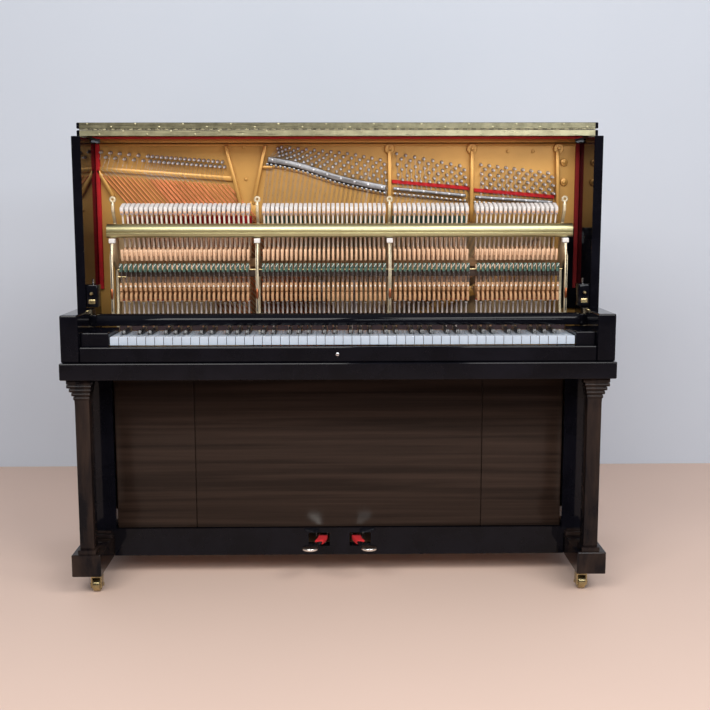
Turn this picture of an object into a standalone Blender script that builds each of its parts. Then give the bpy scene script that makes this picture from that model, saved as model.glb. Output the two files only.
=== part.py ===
"""Upright piano, opened: the music door and the fallboard are off and the top lid is folded back.

Frame: origin on the floor under the middle of the case, +X to the treble end, -Y to the player, +Z up.
All lengths are in metres. A moving piece has its origin on the axis of its joint.
"""

import math

import bmesh
import bpy
from mathutils import Vector

GAP = 0.0003
EDGE_ROOM = 0.002

# Case
CASE_HALF = 0.7295
BOARD = 0.025
INNER_HALF = CASE_HALF - BOARD
BACK = 0.299
BED_FRONT = -0.299
ARM_FRONT = -0.291
SIDE_FRONT_UPPER = -0.078
SIDE_FRONT_LOWER = -0.118
SIDE_TOP = 1.232
TOE_BOTTOM = 0.056
TOE_TOP = 0.117
TOE_OUTER = 0.718
TOE_INNER = 0.640
BED_BOTTOM = 0.591
BED_TOP = 0.636
BED_BACK = 0.060
ARM_OUTER = 0.7255
ARM_INNER = 0.678
ARM_TOP = 0.7615

# Keyboard
KEYBOARD_MIDDLE = 0.011
WHITE_COUNT = 52
WHITE_PITCH = 0.0236
WHITE_FRONT = -0.261
HEAD_DEPTH = 0.050
WHITE_TOP = 0.7012
KEY_BOTTOM = 0.679
STICK_TOP = 0.690
SHARP_TOP = 0.7127
SHARP_BOTTOM = 0.6985
SHARP_CLEAR = 0.0025
SHARP_WIDTH = 0.0105
KEY_END = 0.005
KEY_PIVOT = (0, -0.100, 0.680)
FIRST_LOOSE_WHITE = 16

# Action
HAMMER_PIVOT = (0, 0.0367, 0.905)
HAMMER_LEAN = math.radians(15.5)
WIPPEN_PIVOT = (0, 0.045, 0.801)
DAMPER_PIVOT = (0, 0.0805, 0.850)
BASS = (-0.617, -0.2516)
TENOR = (-0.2049, 0.1341)
TREBLE = (0.1555, 0.624)
LOOSE_NOTE_X = (-0.2165, -0.2065)
BRACKETS_X = (-0.638, -0.230, 0.1445, 0.6425)
BRACKET_HALF = 0.004
BRACKET_EYE = (0.0, 1.0605)
BRACKET_EYE_RADIUS = 0.0085
HEAD_HALF = 0.012
CATCHER = (-0.055, -0.047)
CATCHER_TOP = 0.030

# Strung back
PLATE_FRONT = 0.110
PLATE_BACK = 0.122
PLATE_LEVELS = (0.130, 0.215, 0.990, 1.222)
PLATE_WINDOW_X = (-0.660, 0.630)
BRIDGE_RISE = 0.0385
BRIDGE_WIDTH = 0.034
TREBLE_BRIDGE = ((0.600, 0.930), (-0.500, 0.300), -0.060)
BASS_BRIDGE = ((0.020, 0.300), (0.420, 0.240), 0.012)
BOARD_FRONT = 0.150
BOARD_BACK = 0.160
FRAME_FRONT = 0.180
FRAME_BACK = 0.295

# Lid
LID_HALF = 0.7315
LID_BOTTOM = 1.2355
LID_THICK = 0.017
LID_SPLIT = -0.005
FLAP_DEPTH = 0.088
HINGE_AXIS = (0, -0.0075, 1.2545)
KNUCKLE = 0.0019
LEAF_REACH = 0.018

# Pedals and casters
PEDAL_PIVOT_Y = -0.030
PEDAL_BOTTOM = 0.100
PEDAL_TOP = 0.108
PEDAL_TOE = (0.0815, -0.203)
PEDAL_TOE_RADIUS = 0.022
ROD_Y = 0.078
ROD_X = 0.0465
ROD_RADIUS = 0.0055
ROD_CLEAR = 0.0012
ROD_TOP = 0.825
CASTER_X = 0.6625
CASTER_Y = (-0.240, 0.240)
WHEEL_RADIUS = 0.019
WHEEL_HALF = 0.0098


def clear_scene():
    for obj in list(bpy.data.objects):
        bpy.data.objects.remove(obj, do_unlink=True)


def material(name, colour, roughness, metallic=0.0):
    made = bpy.data.materials.get(name) or bpy.data.materials.new(name)
    made.use_nodes = True
    shader = made.node_tree.nodes["Principled BSDF"]
    shader.inputs["Base Color"].default_value = (*colour, 1)
    shader.inputs["Roughness"].default_value = roughness
    shader.inputs["Metallic"].default_value = metallic
    made.diffuse_color = (*colour, 1)
    return made


def add_object(name, bm, mat, origin=(0, 0, 0)):
    """One closed mesh, given in world coordinates, as an object with its origin at the given point."""
    bmesh.ops.recalc_face_normals(bm, faces=bm.faces[:])
    bmesh.ops.translate(bm, verts=bm.verts[:], vec=-Vector(origin))
    mesh = bpy.data.meshes.new(name)
    bm.to_mesh(mesh)
    bm.free()
    mesh.materials.append(mat)
    obj = bpy.data.objects.new(name, mesh)
    obj.location = origin
    bpy.context.scene.collection.objects.link(obj)
    return obj


def extrude_outline(name, points, start, end, place, mat, origin=(0, 0, 0)):
    """A closed outline swept from start to end; place(u, v, w) turns outline and sweep into a point."""
    bm = bmesh.new()
    ends = [[bm.verts.new(place(u, v, w)) for u, v in points] for w in (start, end)]
    bm.faces.new(ends[0])
    bm.faces.new(reversed(ends[1]))
    count = len(points)
    for i in range(count):
        j = (i + 1) % count
        bm.faces.new((ends[0][i], ends[1][i], ends[1][j], ends[0][j]))
    return add_object(name, bm, mat, origin)


def along_x(name, profile, x_range, mat, origin=(0, 0, 0)):
    """A (y, z) profile swept along X."""
    return extrude_outline(name, profile, *x_range, lambda u, v, w: (w, u, v), mat, origin)


def along_y(name, outline, y_range, mat, origin=(0, 0, 0)):
    """An (x, z) outline swept along Y."""
    return extrude_outline(name, outline, *y_range, lambda u, v, w: (u, w, v), mat, origin)


def along_z(name, outline, z_range, mat, origin=(0, 0, 0)):
    """An (x, y) outline swept along Z."""
    return extrude_outline(name, outline, *z_range, lambda u, v, w: (u, v, w), mat, origin)


def bevel(obj, width, segments=2):
    made = obj.modifiers.new("round_edges", "BEVEL")
    made.width = width
    made.segments = segments
    made.limit_method = "ANGLE"
    made.angle_limit = math.radians(40)
    made.use_clamp_overlap = True
    return obj


def box(name, low, high, mat, edge=0.0, origin=(0, 0, 0)):
    outline = [(low[0], low[1]), (high[0], low[1]), (high[0], high[1]), (low[0], high[1])]
    obj = along_z(name, outline, (low[2], high[2]), mat, origin)
    return bevel(obj, edge) if edge else obj


def sided(name, side, low, high, mat, edge=0.0):
    """A box given for the treble side, mirrored for the bass side when side is -1."""
    xs = sorted((side * low[0], side * high[0]))
    return box(name, (xs[0], low[1], low[2]), (xs[1], high[1], high[2]), mat, edge)


def lattice(name, xs, zs, filled, y_range, mat):
    """A board of grid cells with some left open, as one closed mesh."""
    bm = bmesh.new()
    corners = {}

    def corner(i, j, k):
        if (i, j, k) not in corners:
            corners[i, j, k] = bm.verts.new((xs[i], y_range[k], zs[j]))
        return corners[i, j, k]

    def solid(i, j):
        return 0 <= i < len(xs) - 1 and 0 <= j < len(zs) - 1 and filled(i, j)

    for i in range(len(xs) - 1):
        for j in range(len(zs) - 1):
            if not solid(i, j):
                continue
            ring = [(i, j), (i + 1, j), (i + 1, j + 1), (i, j + 1)]
            beside = [(i, j - 1), (i + 1, j), (i, j + 1), (i - 1, j)]
            bm.faces.new([corner(a, b, 0) for a, b in ring])
            bm.faces.new([corner(a, b, 1) for a, b in reversed(ring)])
            for k, cell in enumerate(beside):
                if not solid(*cell):
                    (a, b), (c, d) = ring[k], ring[(k + 1) % 4]
                    bm.faces.new((corner(a, b, 0), corner(a, b, 1), corner(c, d, 1), corner(c, d, 0)))
    return add_object(name, bm, mat)


def circle(centre, radius, steps, start=0.0, sweep=math.tau):
    """Points on a circle; a full turn leaves out the repeated last point."""
    last = steps if sweep >= math.tau else steps - 1
    angles = [start + sweep * i / last for i in range(steps)]
    return [(centre[0] + radius * math.cos(a), centre[1] + radius * math.sin(a)) for a in angles]


def case_boards(black):
    """Side panels, key bed, arms, key blocks, key slip and the fall rail behind the keys."""
    profile = [
        (SIDE_FRONT_LOWER, TOE_TOP + GAP),
        (BACK, TOE_TOP + GAP),
        (BACK, SIDE_TOP),
        (SIDE_FRONT_UPPER, SIDE_TOP),
        (SIDE_FRONT_UPPER, BED_TOP + GAP),
        (SIDE_FRONT_LOWER, BED_TOP + GAP),
    ]
    for name, side in (("left", -1), ("right", 1)):
        bevel(along_x("side_" + name, profile, (side * INNER_HALF, side * CASE_HALF), black), 0.0018)
        sided("arm_" + name, side, (ARM_INNER, ARM_FRONT, BED_TOP + GAP),
              (ARM_OUTER, SIDE_FRONT_UPPER - GAP, ARM_TOP), black, 0.004)
    left_end = KEYBOARD_MIDDLE - WHITE_COUNT * WHITE_PITCH / 2
    right_end = KEYBOARD_MIDDLE + WHITE_COUNT * WHITE_PITCH / 2
    block_low, block_high = (-0.266, BED_TOP + GAP), (-0.1225, 0.7125)
    box("key_block_left", (-ARM_INNER + GAP, *block_low), (left_end - 0.0015, *block_high), black, 0.0025)
    box("key_block_right", (right_end + 0.0015, *block_low), (ARM_INNER - GAP, *block_high), black, 0.0025)
    front = SIDE_FRONT_LOWER - EDGE_ROOM
    neck = INNER_HALF - EDGE_ROOM
    wide = CASE_HALF - GAP
    bed = [
        (-wide, BED_FRONT), (wide, BED_FRONT), (wide, front), (neck, front),
        (neck, BED_BACK), (-neck, BED_BACK), (-neck, front), (-wide, front),
    ]
    bevel(along_z("key_bed", bed, (BED_BOTTOM, BED_TOP), black), 0.003)
    box("key_slip", (-ARM_INNER + GAP, -0.286, BED_TOP + GAP), (ARM_INNER - GAP, -0.2668, 0.677),
        black, 0.003)
    strip = [
        (-0.1220, 0.7150), (-0.0960, 0.7150), (-0.0960, 0.7470), (-0.1020, 0.7474),
        (-0.1100, 0.7440), (-0.1170, 0.7370), (-0.1200, 0.7280), (-0.1220, 0.7250),
    ]
    along_x("fall_rail", strip, (-0.6680, 0.6680), black)


def lower_case(black, wood):
    """Toes, legs, the frame round the knee panel, the panel itself and the bottom board."""
    front = SIDE_FRONT_LOWER
    for name, side in (("left", -1), ("right", 1)):
        sided("toe_" + name, side, (TOE_INNER, ARM_FRONT, TOE_BOTTOM), (TOE_OUTER, BACK, TOE_TOP), black, 0.003)
        leg = [
            (0.658, TOE_TOP + GAP), (0.695, TOE_TOP + GAP), (0.695, 0.530), (0.699, 0.545),
            (0.706, 0.562), (0.710, 0.5785), (0.716, 0.5785), (0.716, BED_BOTTOM - GAP),
            (0.645, BED_BOTTOM - GAP), (0.645, 0.5785), (0.651, 0.5785), (0.653, 0.562),
            (0.656, 0.545), (0.658, 0.530),
        ]
        along_y("leg_" + name, [(side * x, z) for x, z in leg], (-0.286, -0.236), black)
    xs = [-INNER_HALF + GAP, -TOE_INNER + 0.0015, -0.632, -0.088, -0.028]
    xs = xs + [-x for x in reversed(xs)]
    zs = [0.058, 0.083, TOE_TOP + GAP, 0.122, 0.136, BED_BOTTOM - GAP]
    last = len(xs) - 2

    def frame_cell(i, j):
        if i in (0, last):
            return j >= 2
        if i in (1, last - 1):
            return True
        return j < 4 and not (i in (3, last - 3) and j in (1, 2))

    lattice("bottom_frame", xs, zs, frame_cell, (front, front + 0.038), black)
    hinge = (0, front + 0.008, 0.137)
    box("bottom_panel", (-0.6285, front + 0.010, 0.137), (0.6285, front + 0.029, 0.588), black, 0.002, hinge)
    box("bottom_board", (-0.638, front + 0.0385, 0.060), (0.638, 0.179, 0.078), wood)


def lid(black, brass):
    """The fixed rear half, the front half folded back on top of it and the full-length hinge."""
    top = LID_BOTTOM + LID_THICK
    box("lid_rear", (-LID_HALF, LID_SPLIT, LID_BOTTOM), (LID_HALF, BACK, top), black, 0.0025)
    fold = 2 * HINGE_AXIS[2]
    flap_low = (-LID_HALF, LID_SPLIT, fold - top)
    flap_high = (LID_HALF, LID_SPLIT + FLAP_DEPTH, fold - LID_BOTTOM)
    box("lid_front", flap_low, flap_high, black, 0.0025, HINGE_AXIS)
    ends = (-0.7225, 0.7225)
    _, y, z = HINGE_AXIS
    front, back = LID_SPLIT - 0.0018, LID_SPLIT - GAP
    knuckle = circle((y, z), KNUCKLE, 9, math.radians(-55), math.radians(290))
    leaf = [(back, z - LEAF_REACH), (back, z - 0.0022), *knuckle, (front, z - 0.0023), (front, z - LEAF_REACH)]
    along_x("hinge_leaf_rear", leaf, ends, brass)
    box("hinge_leaf_front", (ends[0], front, z + KNUCKLE + 0.0004), (ends[1], back, z + LEAF_REACH),
        brass, 0, HINGE_AXIS)


def strung_back(wood, spruce, gold, maple):
    """Back posts, soundboard, pin block, iron plate and the two bridges."""
    post, third = 0.060, 0.335
    middles = (-0.670, -third, 0.0, third, 0.670)
    xs = [x for m in middles for x in (m - post / 2, m + post / 2)]
    zs = [0.1185, 0.205, 1.120, 1.228]
    lattice("back_frame", xs, zs, lambda i, j: i % 2 == 0 or j != 1, (FRAME_FRONT, FRAME_BACK), wood)
    box("soundboard", (-0.700, BOARD_FRONT, 0.160), (0.700, BOARD_BACK, 1.018), spruce)
    box("pin_block", (-0.700, PLATE_BACK + GAP, 1.020), (0.700, FRAME_FRONT - GAP, 1.226), wood)
    xs = [-INNER_HALF + GAP, *PLATE_WINDOW_X, INNER_HALF - GAP]
    in_window = (1, 1)
    lattice("iron_plate", xs, PLATE_LEVELS, lambda i, j: (i, j) != in_window, (PLATE_FRONT, PLATE_BACK), gold)
    half, steps = BRIDGE_WIDTH / 2, 12

    def bridge(name, start, end, bow):
        """A bowed bar on the soundboard, with parallel long sides."""
        run = Vector(end) - Vector(start)
        across = Vector((-run.y, run.x)).normalized()

        def side(offset, ts):
            bent = [Vector(start) + run * t + across * (bow * math.sin(math.pi * t) + offset) for t in ts]
            return [tuple(p) for p in bent]

        ts = [i / steps for i in range(steps + 1)]
        outline = side(half, ts) + side(-half, list(reversed(ts)))
        along_y(name, outline, (BOARD_FRONT - BRIDGE_RISE, BOARD_FRONT - GAP), maple)

    bridge("treble_bridge", *TREBLE_BRIDGE)
    bridge("bass_bridge", *BASS_BRIDGE)


def action_frame(metal, wood, gold):
    """Four cast brackets, the rail that carries the flanges and the rail that the shanks rest on."""
    neck_back = [(0.0560, 0.9450), (0.0300, 1.0000), (0.0060, 1.0300)]
    eye = circle(BRACKET_EYE, BRACKET_EYE_RADIUS, 9, math.radians(-60), math.radians(300))
    neck_front = [(-0.0040, 1.0300), (0.0215, 0.9950), (0.0195, 0.9450), (-0.0270, 0.9380)]
    front_post = [(-0.0440, 0.9000), (-0.0440, 0.7160), (-0.0330, 0.7160), (-0.0330, 0.8800)]
    bow = [(-0.0180, 0.8900), (0.0330, 0.8600), (0.0330, 0.7600), (0.0200, 0.7250)]
    foot = [(0.0200, BED_TOP + GAP), (0.0590, BED_TOP + GAP), (0.0700, BED_TOP + 0.010)]
    back_post = [(0.0700, 0.8100), (0.0560, 0.8400)]
    outline = neck_back + eye + neck_front + front_post + bow + foot + back_post
    for number, x in enumerate(BRACKETS_X, 1):
        across = (x - BRACKET_HALF, x + BRACKET_HALF)
        along_x(f"action_bracket_{number}", outline, across, metal)
    box("action_rail", (-0.6345, 0.0565, 0.868), (0.6395, 0.0740, 0.892), wood)
    cross = [
        (-0.0200, 0.9550), (0.0060, 0.9530), (0.0110, 0.9560), (0.0015, 0.9900),
        (-0.0080, 0.9930), (-0.0190, 0.9880), (-0.0235, 0.9770), (-0.0235, 0.9640),
    ]
    along_x("hammer_rail", cross, (-0.654, 0.664), gold, HAMMER_PIVOT)


def hammer_profile():
    """Butt, catcher, shank and head, as (towards the strings, up the shank) from the pivot."""
    middle, low, high = 0.130, 0.130 - HEAD_HALF, 0.130 + HEAD_HALF
    head = [
        (0.003, low + 0.001), (0.034, low), (0.046, middle - 0.008), (0.050, middle),
        (0.046, middle + 0.008), (0.034, high), (-0.010, high - 0.001), (-0.010, low + 0.002),
        (-0.003, low + 0.001),
    ]
    rear, front = CATCHER
    catcher = [(front, 0.002), (front, CATCHER_TOP), (rear, CATCHER_TOP), (rear, 0.0), (front, -0.004)]
    shoulder = [(-0.003, 0.020), (-0.016, 0.012), (-0.016, 0.004)]
    butt = [(-0.016, -0.004), (-0.016, -0.014), (0.012, -0.014), (0.012, 0.010), (0.003, 0.020)]
    local = head + shoulder + catcher + butt
    lean, (_, y, z) = HAMMER_LEAN, HAMMER_PIVOT
    cos, sin = math.cos(lean), math.sin(lean)
    return [(y + u * cos - w * sin, z + u * sin + w * cos) for u, w in local]


def wippen_profile():
    """Lever, heel, jack and back check, seen from the side."""
    return [
        (0.0555, 0.7920), (0.0555, 0.8100), (0.0170, 0.8120), (0.0150, 0.8760), (0.0070, 0.8760),
        (0.0080, 0.8120), (-0.0330, 0.8080), (-0.0340, 0.8560), (-0.0310, 0.8800), (-0.0400, 0.8820),
        (-0.0430, 0.8560), (-0.0420, 0.8080), (-0.0480, 0.8040), (-0.0480, 0.7900), (-0.0120, 0.7880),
        (-0.0110, 0.7760), (0.0040, 0.7760), (0.0060, 0.7900),
    ]


def damper_profile():
    return [
        (0.0775, 0.8450), (0.0835, 0.8450), (0.0835, 0.9550), (0.0955, 0.9560), (0.0955, 1.0140),
        (0.0790, 1.0140), (0.0775, 0.9550),
    ]


def action(felt, wood, red):
    """The banks of hammers, wippens and dampers, and the one loose note beside them."""
    for name, span in (("bass", BASS), ("tenor", TENOR), ("treble", TREBLE)):
        along_x("hammers_" + name, hammer_profile(), span, felt, HAMMER_PIVOT)
        along_x("wippens_" + name, wippen_profile(), span, wood, WIPPEN_PIVOT)
    along_x("hammer_c3", hammer_profile(), LOOSE_NOTE_X, felt, HAMMER_PIVOT)
    along_x("wippen_c3", wippen_profile(), LOOSE_NOTE_X, wood, WIPPEN_PIVOT)
    along_x("dampers_bass", damper_profile(), BASS, red, DAMPER_PIVOT)
    along_x("dampers_treble", damper_profile(), (LOOSE_NOTE_X[0], 0.370), red, DAMPER_PIVOT)


def white_left(index):
    return KEYBOARD_MIDDLE + (index - WHITE_COUNT / 2) * WHITE_PITCH


def sharp_middles():
    """X of each black key: the whites run A B C D E F G, and no black key follows B or E."""
    lean = {0: 0.0030, 2: -0.0020, 3: 0.0020, 5: -0.0030, 6: 0.0}
    return {i: white_left(i + 1) + lean[i % 7] for i in range(WHITE_COUNT - 1) if i % 7 in lean}


def keys(ivory, ebony):
    """Two banks of white keys, two banks of black keys, and the loose keys C3 and C sharp 3."""
    heads = WHITE_FRONT + HEAD_DEPTH
    slab = [
        (WHITE_FRONT, KEY_BOTTOM), (KEY_END, KEY_BOTTOM), (KEY_END, STICK_TOP),
        (heads, STICK_TOP), (heads, WHITE_TOP), (WHITE_FRONT, WHITE_TOP),
    ]
    loose = FIRST_LOOSE_WHITE
    slack = 0.0005
    along_x("white_keys_low", slab, (white_left(0), white_left(loose) - slack), ivory, KEY_PIVOT)
    high = (white_left(loose + 1) + slack, white_left(WHITE_COUNT))
    along_x("white_keys_high", slab, high, ivory, KEY_PIVOT)
    tip, bar_front, bar_back = heads + SHARP_CLEAR, -0.1155, -0.0965
    half = SHARP_WIDTH / 2
    levels = (SHARP_BOTTOM, SHARP_TOP)
    middles = sharp_middles()

    def comb(name, indices):
        """Black keys side by side, held together by a bar that lies behind the fall rail's front."""
        row = [middles[i] for i in indices]
        outline = [(row[0] - half, bar_back)]
        for x in row:
            outline += [(x - half, bar_front), (x - half, tip), (x + half, tip), (x + half, bar_front)]
        del outline[1]
        del outline[-1]
        outline.append((row[-1] + half, bar_back))
        along_z(name, outline, levels, ebony, KEY_PIVOT)

    comb("black_keys_low", [i for i in middles if i < loose])
    comb("black_keys_high", [i for i in middles if i > loose])
    left, right = white_left(loose) + slack, white_left(loose + 1) - slack
    sharp = middles[loose]
    tail = sharp - half - 0.0012
    outline = [
        (left, WHITE_FRONT), (right, WHITE_FRONT), (right, heads),
        (tail, heads), (tail, KEY_END), (left, KEY_END),
    ]
    along_z("key_c3", outline, (KEY_BOTTOM, WHITE_TOP), ivory, KEY_PIVOT)
    over = SHARP_BOTTOM + 0.010
    stick = [
        (tip, SHARP_BOTTOM), (KEY_END, SHARP_BOTTOM), (KEY_END, over),
        (bar_back, over), (bar_back, SHARP_TOP), (tip, SHARP_TOP),
    ]
    along_x("key_cs3", stick, (sharp - half, sharp + half), ebony, KEY_PIVOT)


def pedals(steel, wood):
    """Two splayed pedals and the upright rods that carry their travel to the action."""
    toe = circle(PEDAL_TOE, PEDAL_TOE_RADIUS, 9, math.radians(180), math.radians(210))
    heel = ROD_Y + 0.010
    outer = [(0.0700, -0.152), (0.0575, -0.105), (0.0575, heel)]
    inner = [(0.0355, heel), (0.0355, -0.100), (0.0480, -0.150)]
    for name, side in (("left", -1), ("right", 1)):
        outline = [(side * x, y) for x, y in toe + outer + inner]
        origin = (side * ROD_X, PEDAL_PIVOT_Y, (PEDAL_BOTTOM + PEDAL_TOP) / 2)
        bevel(along_z("pedal_" + name, outline, (PEDAL_BOTTOM, PEDAL_TOP), steel, origin), 0.002, 1)
        rod = circle((side * ROD_X, ROD_Y), ROD_RADIUS, 12)
        along_z("pedal_rod_" + name, rod, (PEDAL_TOP + ROD_CLEAR, ROD_TOP), wood, (side * ROD_X, ROD_Y, PEDAL_TOP))


def casters(brass):
    """A swivelling fork and its wheel under each end of both toes."""
    top = TOE_BOTTOM - GAP
    cheek, crown, wheel_drop = 0.0145, 0.0405, 0.012
    half = [
        (0.017, top), (0.017, 0.0510), (0.008, 0.0490), (0.008, 0.0455), (cheek, 0.0440),
        (cheek, wheel_drop), (WHEEL_HALF + 0.0007, wheel_drop), (WHEEL_HALF + 0.0007, crown),
    ]
    for end, y in zip(("front", "rear"), CASTER_Y):
        for name, side in (("left", -1), ("right", 1)):
            x = side * CASTER_X
            outline = [(x + u, z) for u, z in half] + [(x - u, z) for u, z in reversed(half)]
            along_y(f"caster_fork_{end}_{name}", outline, (y - 0.013, y + 0.013), brass, (x, y, top))
            ring = circle((y, WHEEL_RADIUS), WHEEL_RADIUS, 24)
            wheel = (x, y, WHEEL_RADIUS)
            made = along_x(f"caster_wheel_{end}_{name}", ring, (x - WHEEL_HALF, x + WHEEL_HALF), brass, wheel)
            made.data.shade_smooth()
            made.data.set_sharp_from_angle(angle=math.radians(40))


def main():
    clear_scene()
    black = material("black_polish", (0.012, 0.010, 0.011), 0.08)
    brass = material("brass", (0.72, 0.50, 0.20), 0.25, 1.0)
    gold = material("gold_lacquer", (0.55, 0.36, 0.14), 0.35, 0.6)
    rail_gold = material("pale_gold", (0.75, 0.68, 0.48), 0.25, 0.9)
    steel = material("bright_steel", (0.80, 0.79, 0.76), 0.18, 1.0)
    wood = material("beech", (0.55, 0.34, 0.18), 0.5)
    pale_wood = material("maple", (0.70, 0.50, 0.33), 0.45)
    spruce = material("spruce", (0.72, 0.52, 0.30), 0.5)
    felt = material("white_felt", (0.86, 0.83, 0.78), 0.9)
    red = material("red_felt", (0.32, 0.01, 0.015), 0.9)
    ivory = material("ivory", (0.85, 0.84, 0.80), 0.2)
    ebony = material("ebony", (0.015, 0.014, 0.015), 0.25)
    case_boards(black)
    lower_case(black, wood)
    lid(black, brass)
    strung_back(wood, spruce, gold, pale_wood)
    action_frame(brass, wood, rail_gold)
    action(felt, pale_wood, red)
    keys(ivory, ebony)
    pedals(steel, pale_wood)
    casters(brass)


main()
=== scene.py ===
"""Looks of the opened upright piano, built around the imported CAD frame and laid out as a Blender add-on.

Everything is in metres in the frame's own axes: origin on the floor under the middle of the case,
+X to the treble end, -Y to the player, +Z up.
"""

import math

import bmesh
import bpy
from bpy.props import FloatProperty, FloatVectorProperty, IntProperty, PointerProperty
from mathutils import Matrix, Vector


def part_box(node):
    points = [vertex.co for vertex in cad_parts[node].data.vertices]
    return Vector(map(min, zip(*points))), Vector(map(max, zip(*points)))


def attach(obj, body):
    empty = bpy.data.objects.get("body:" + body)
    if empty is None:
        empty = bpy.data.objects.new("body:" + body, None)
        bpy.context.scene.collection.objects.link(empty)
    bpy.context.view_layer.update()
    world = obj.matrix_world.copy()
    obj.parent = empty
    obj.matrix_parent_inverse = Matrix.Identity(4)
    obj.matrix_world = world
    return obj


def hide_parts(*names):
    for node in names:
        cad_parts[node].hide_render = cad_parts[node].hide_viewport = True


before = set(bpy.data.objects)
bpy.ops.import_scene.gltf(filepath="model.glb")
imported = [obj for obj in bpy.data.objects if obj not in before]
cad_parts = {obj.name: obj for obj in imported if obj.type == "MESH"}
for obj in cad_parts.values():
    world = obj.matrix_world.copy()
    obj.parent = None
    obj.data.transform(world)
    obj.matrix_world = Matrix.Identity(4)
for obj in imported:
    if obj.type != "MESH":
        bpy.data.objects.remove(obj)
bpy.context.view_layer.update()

bl_info = {
    "name": "Opened Upright Piano",
    "version": (1, 0, 0),
    "blender": (4, 5, 0),
    "location": "View3D > Sidebar > Piano",
    "description": "Builds the looks of an opened upright piano around its CAD frame",
    "category": "Object",
}


# ---------------------------------------------------------------- settings


def length(name, default, description):
    return FloatProperty(name=name, default=default, description=description, unit="LENGTH", precision=4)


def number(name, default, description):
    return FloatProperty(name=name, default=default, description=description)


def colour(name, default, description):
    return FloatVectorProperty(
        name=name, default=default, description=description, subtype="COLOR", size=3, min=0, max=1
    )


class PianoFinishes(bpy.types.PropertyGroup):
    """Colours that an owner would choose."""

    polish: colour("Polish", (0.0028, 0.0027, 0.0042), "Black polyester of the case")
    # This is real wood figure. On the knee panel it is also made lighter to stand in for a painted warm
    # reflection of the floor.
    figure: colour("Figure", (0.033, 0.020, 0.0145), "Brown wood figure under the polish of the lower case")
    lacquer: colour("Plate lacquer", (0.61, 0.325, 0.082), "Bronze-gold lacquer of the iron plate")
    rail: colour("Rail", (0.54, 0.49, 0.27), "Anodised hammer rail")
    brass: colour("Brass", (0.82, 0.66, 0.34), "Casters and small fittings")
    hinge: colour("Hinge brass", (0.47, 0.43, 0.27), "Aged brass of the lid hinge")
    copper: colour("Copper", (0.52, 0.17, 0.075), "Winding of the bass strings")
    steel: colour("Steel", (0.60, 0.60, 0.62), "Plain strings and pins")
    red_felt: colour("Red felt", (0.50, 0.010, 0.014), "Felt strips and damper backs")
    white_felt: colour("White felt", (0.76, 0.72, 0.69), "Hammer felt")
    green_felt: colour("Green felt", (0.070, 0.140, 0.108), "Back-check felt")
    maple: colour("Maple", (0.80, 0.50, 0.31), "Action wood")
    beech: colour("Beech", (0.46, 0.27, 0.13), "Frame and rail wood")
    spruce: colour("Spruce", (0.70, 0.48, 0.25), "Soundboard wood")
    ivory: colour("Key white", (0.49, 0.55, 0.63), "Covering of the white keys")


class PianoAction(bpy.types.PropertyGroup):
    """Sizes of the parts that repeat for each note."""

    felt_width: length("Hammer width", 0.0098, "Width of the lowest hammer's felt")
    felt_taper: number("Hammer taper", 0.16, "How much narrower the top hammer is")
    shank: length("Shank radius", 0.0029, "Radius of a hammer shank")
    wire: length("Wire radius", 0.0009, "Radius of the check and bridle wires")
    stick: length("Stick width", 0.0066, "Width of a butt or wippen")
    dowel: length("Capstan radius", 0.0027, "Radius of a capstan dowel")


class PianoStrings(bpy.types.PropertyGroup):
    """Sizes of the tuning pins and strings."""

    pin: length("Pin radius", 0.0036, "Radius of a tuning pin")
    pin_reach: length("Pin reach", 0.030, "How far a tuning pin stands out of the plate")
    steel: length("Wire radius", 0.00045, "Radius of a plain string")
    thickest: length("Thickest winding", 0.0022, "Radius of the lowest wound string")
    thinnest: length("Thinnest winding", 0.0011, "Radius of the highest wound string")


class PianoCase(bpy.types.PropertyGroup):
    """Sizes of the case details."""

    knuckles: IntProperty(
        name="Knuckles", default=58, min=8, description="Knuckles on each leaf of the lid hinge"
    )
    edge: length("Soft edge", 0.0012, "Rounding of small polished edges")
    flute: length("Flute", 0.0105, "Height of one flute on a leg's capital")
    key_gap: length("Key gap", 0.0009, "Gap between two white keys")


class PianoStage(bpy.types.PropertyGroup):
    """Floor, light and camera."""

    lens: number("Lens", 53.91, "Focal length in millimetres on a 36 mm sensor")
    key_light: number("Key light", 120.0, "Power of the main soft light in watts")
    fill_light: number("Fill light", 33.0, "Power of the fill light in watts")
    top_light: number("Top light", 70.0, "Power of the top light in watts")
    wall_y: length("Wall", 1.175, "How far behind the middle of the case the wall stands")
    wall: colour("Wall", (0.570, 0.612, 0.680), "Plain backdrop")
    floor: colour("Floor", (0.700, 0.515, 0.425), "Plain pale floor")


SETTINGS = {
    "piano_finishes": PianoFinishes,
    "piano_action": PianoAction,
    "piano_strings": PianoStrings,
    "piano_case": PianoCase,
    "piano_stage": PianoStage,
}


# ---------------------------------------------------------------- materials


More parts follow.
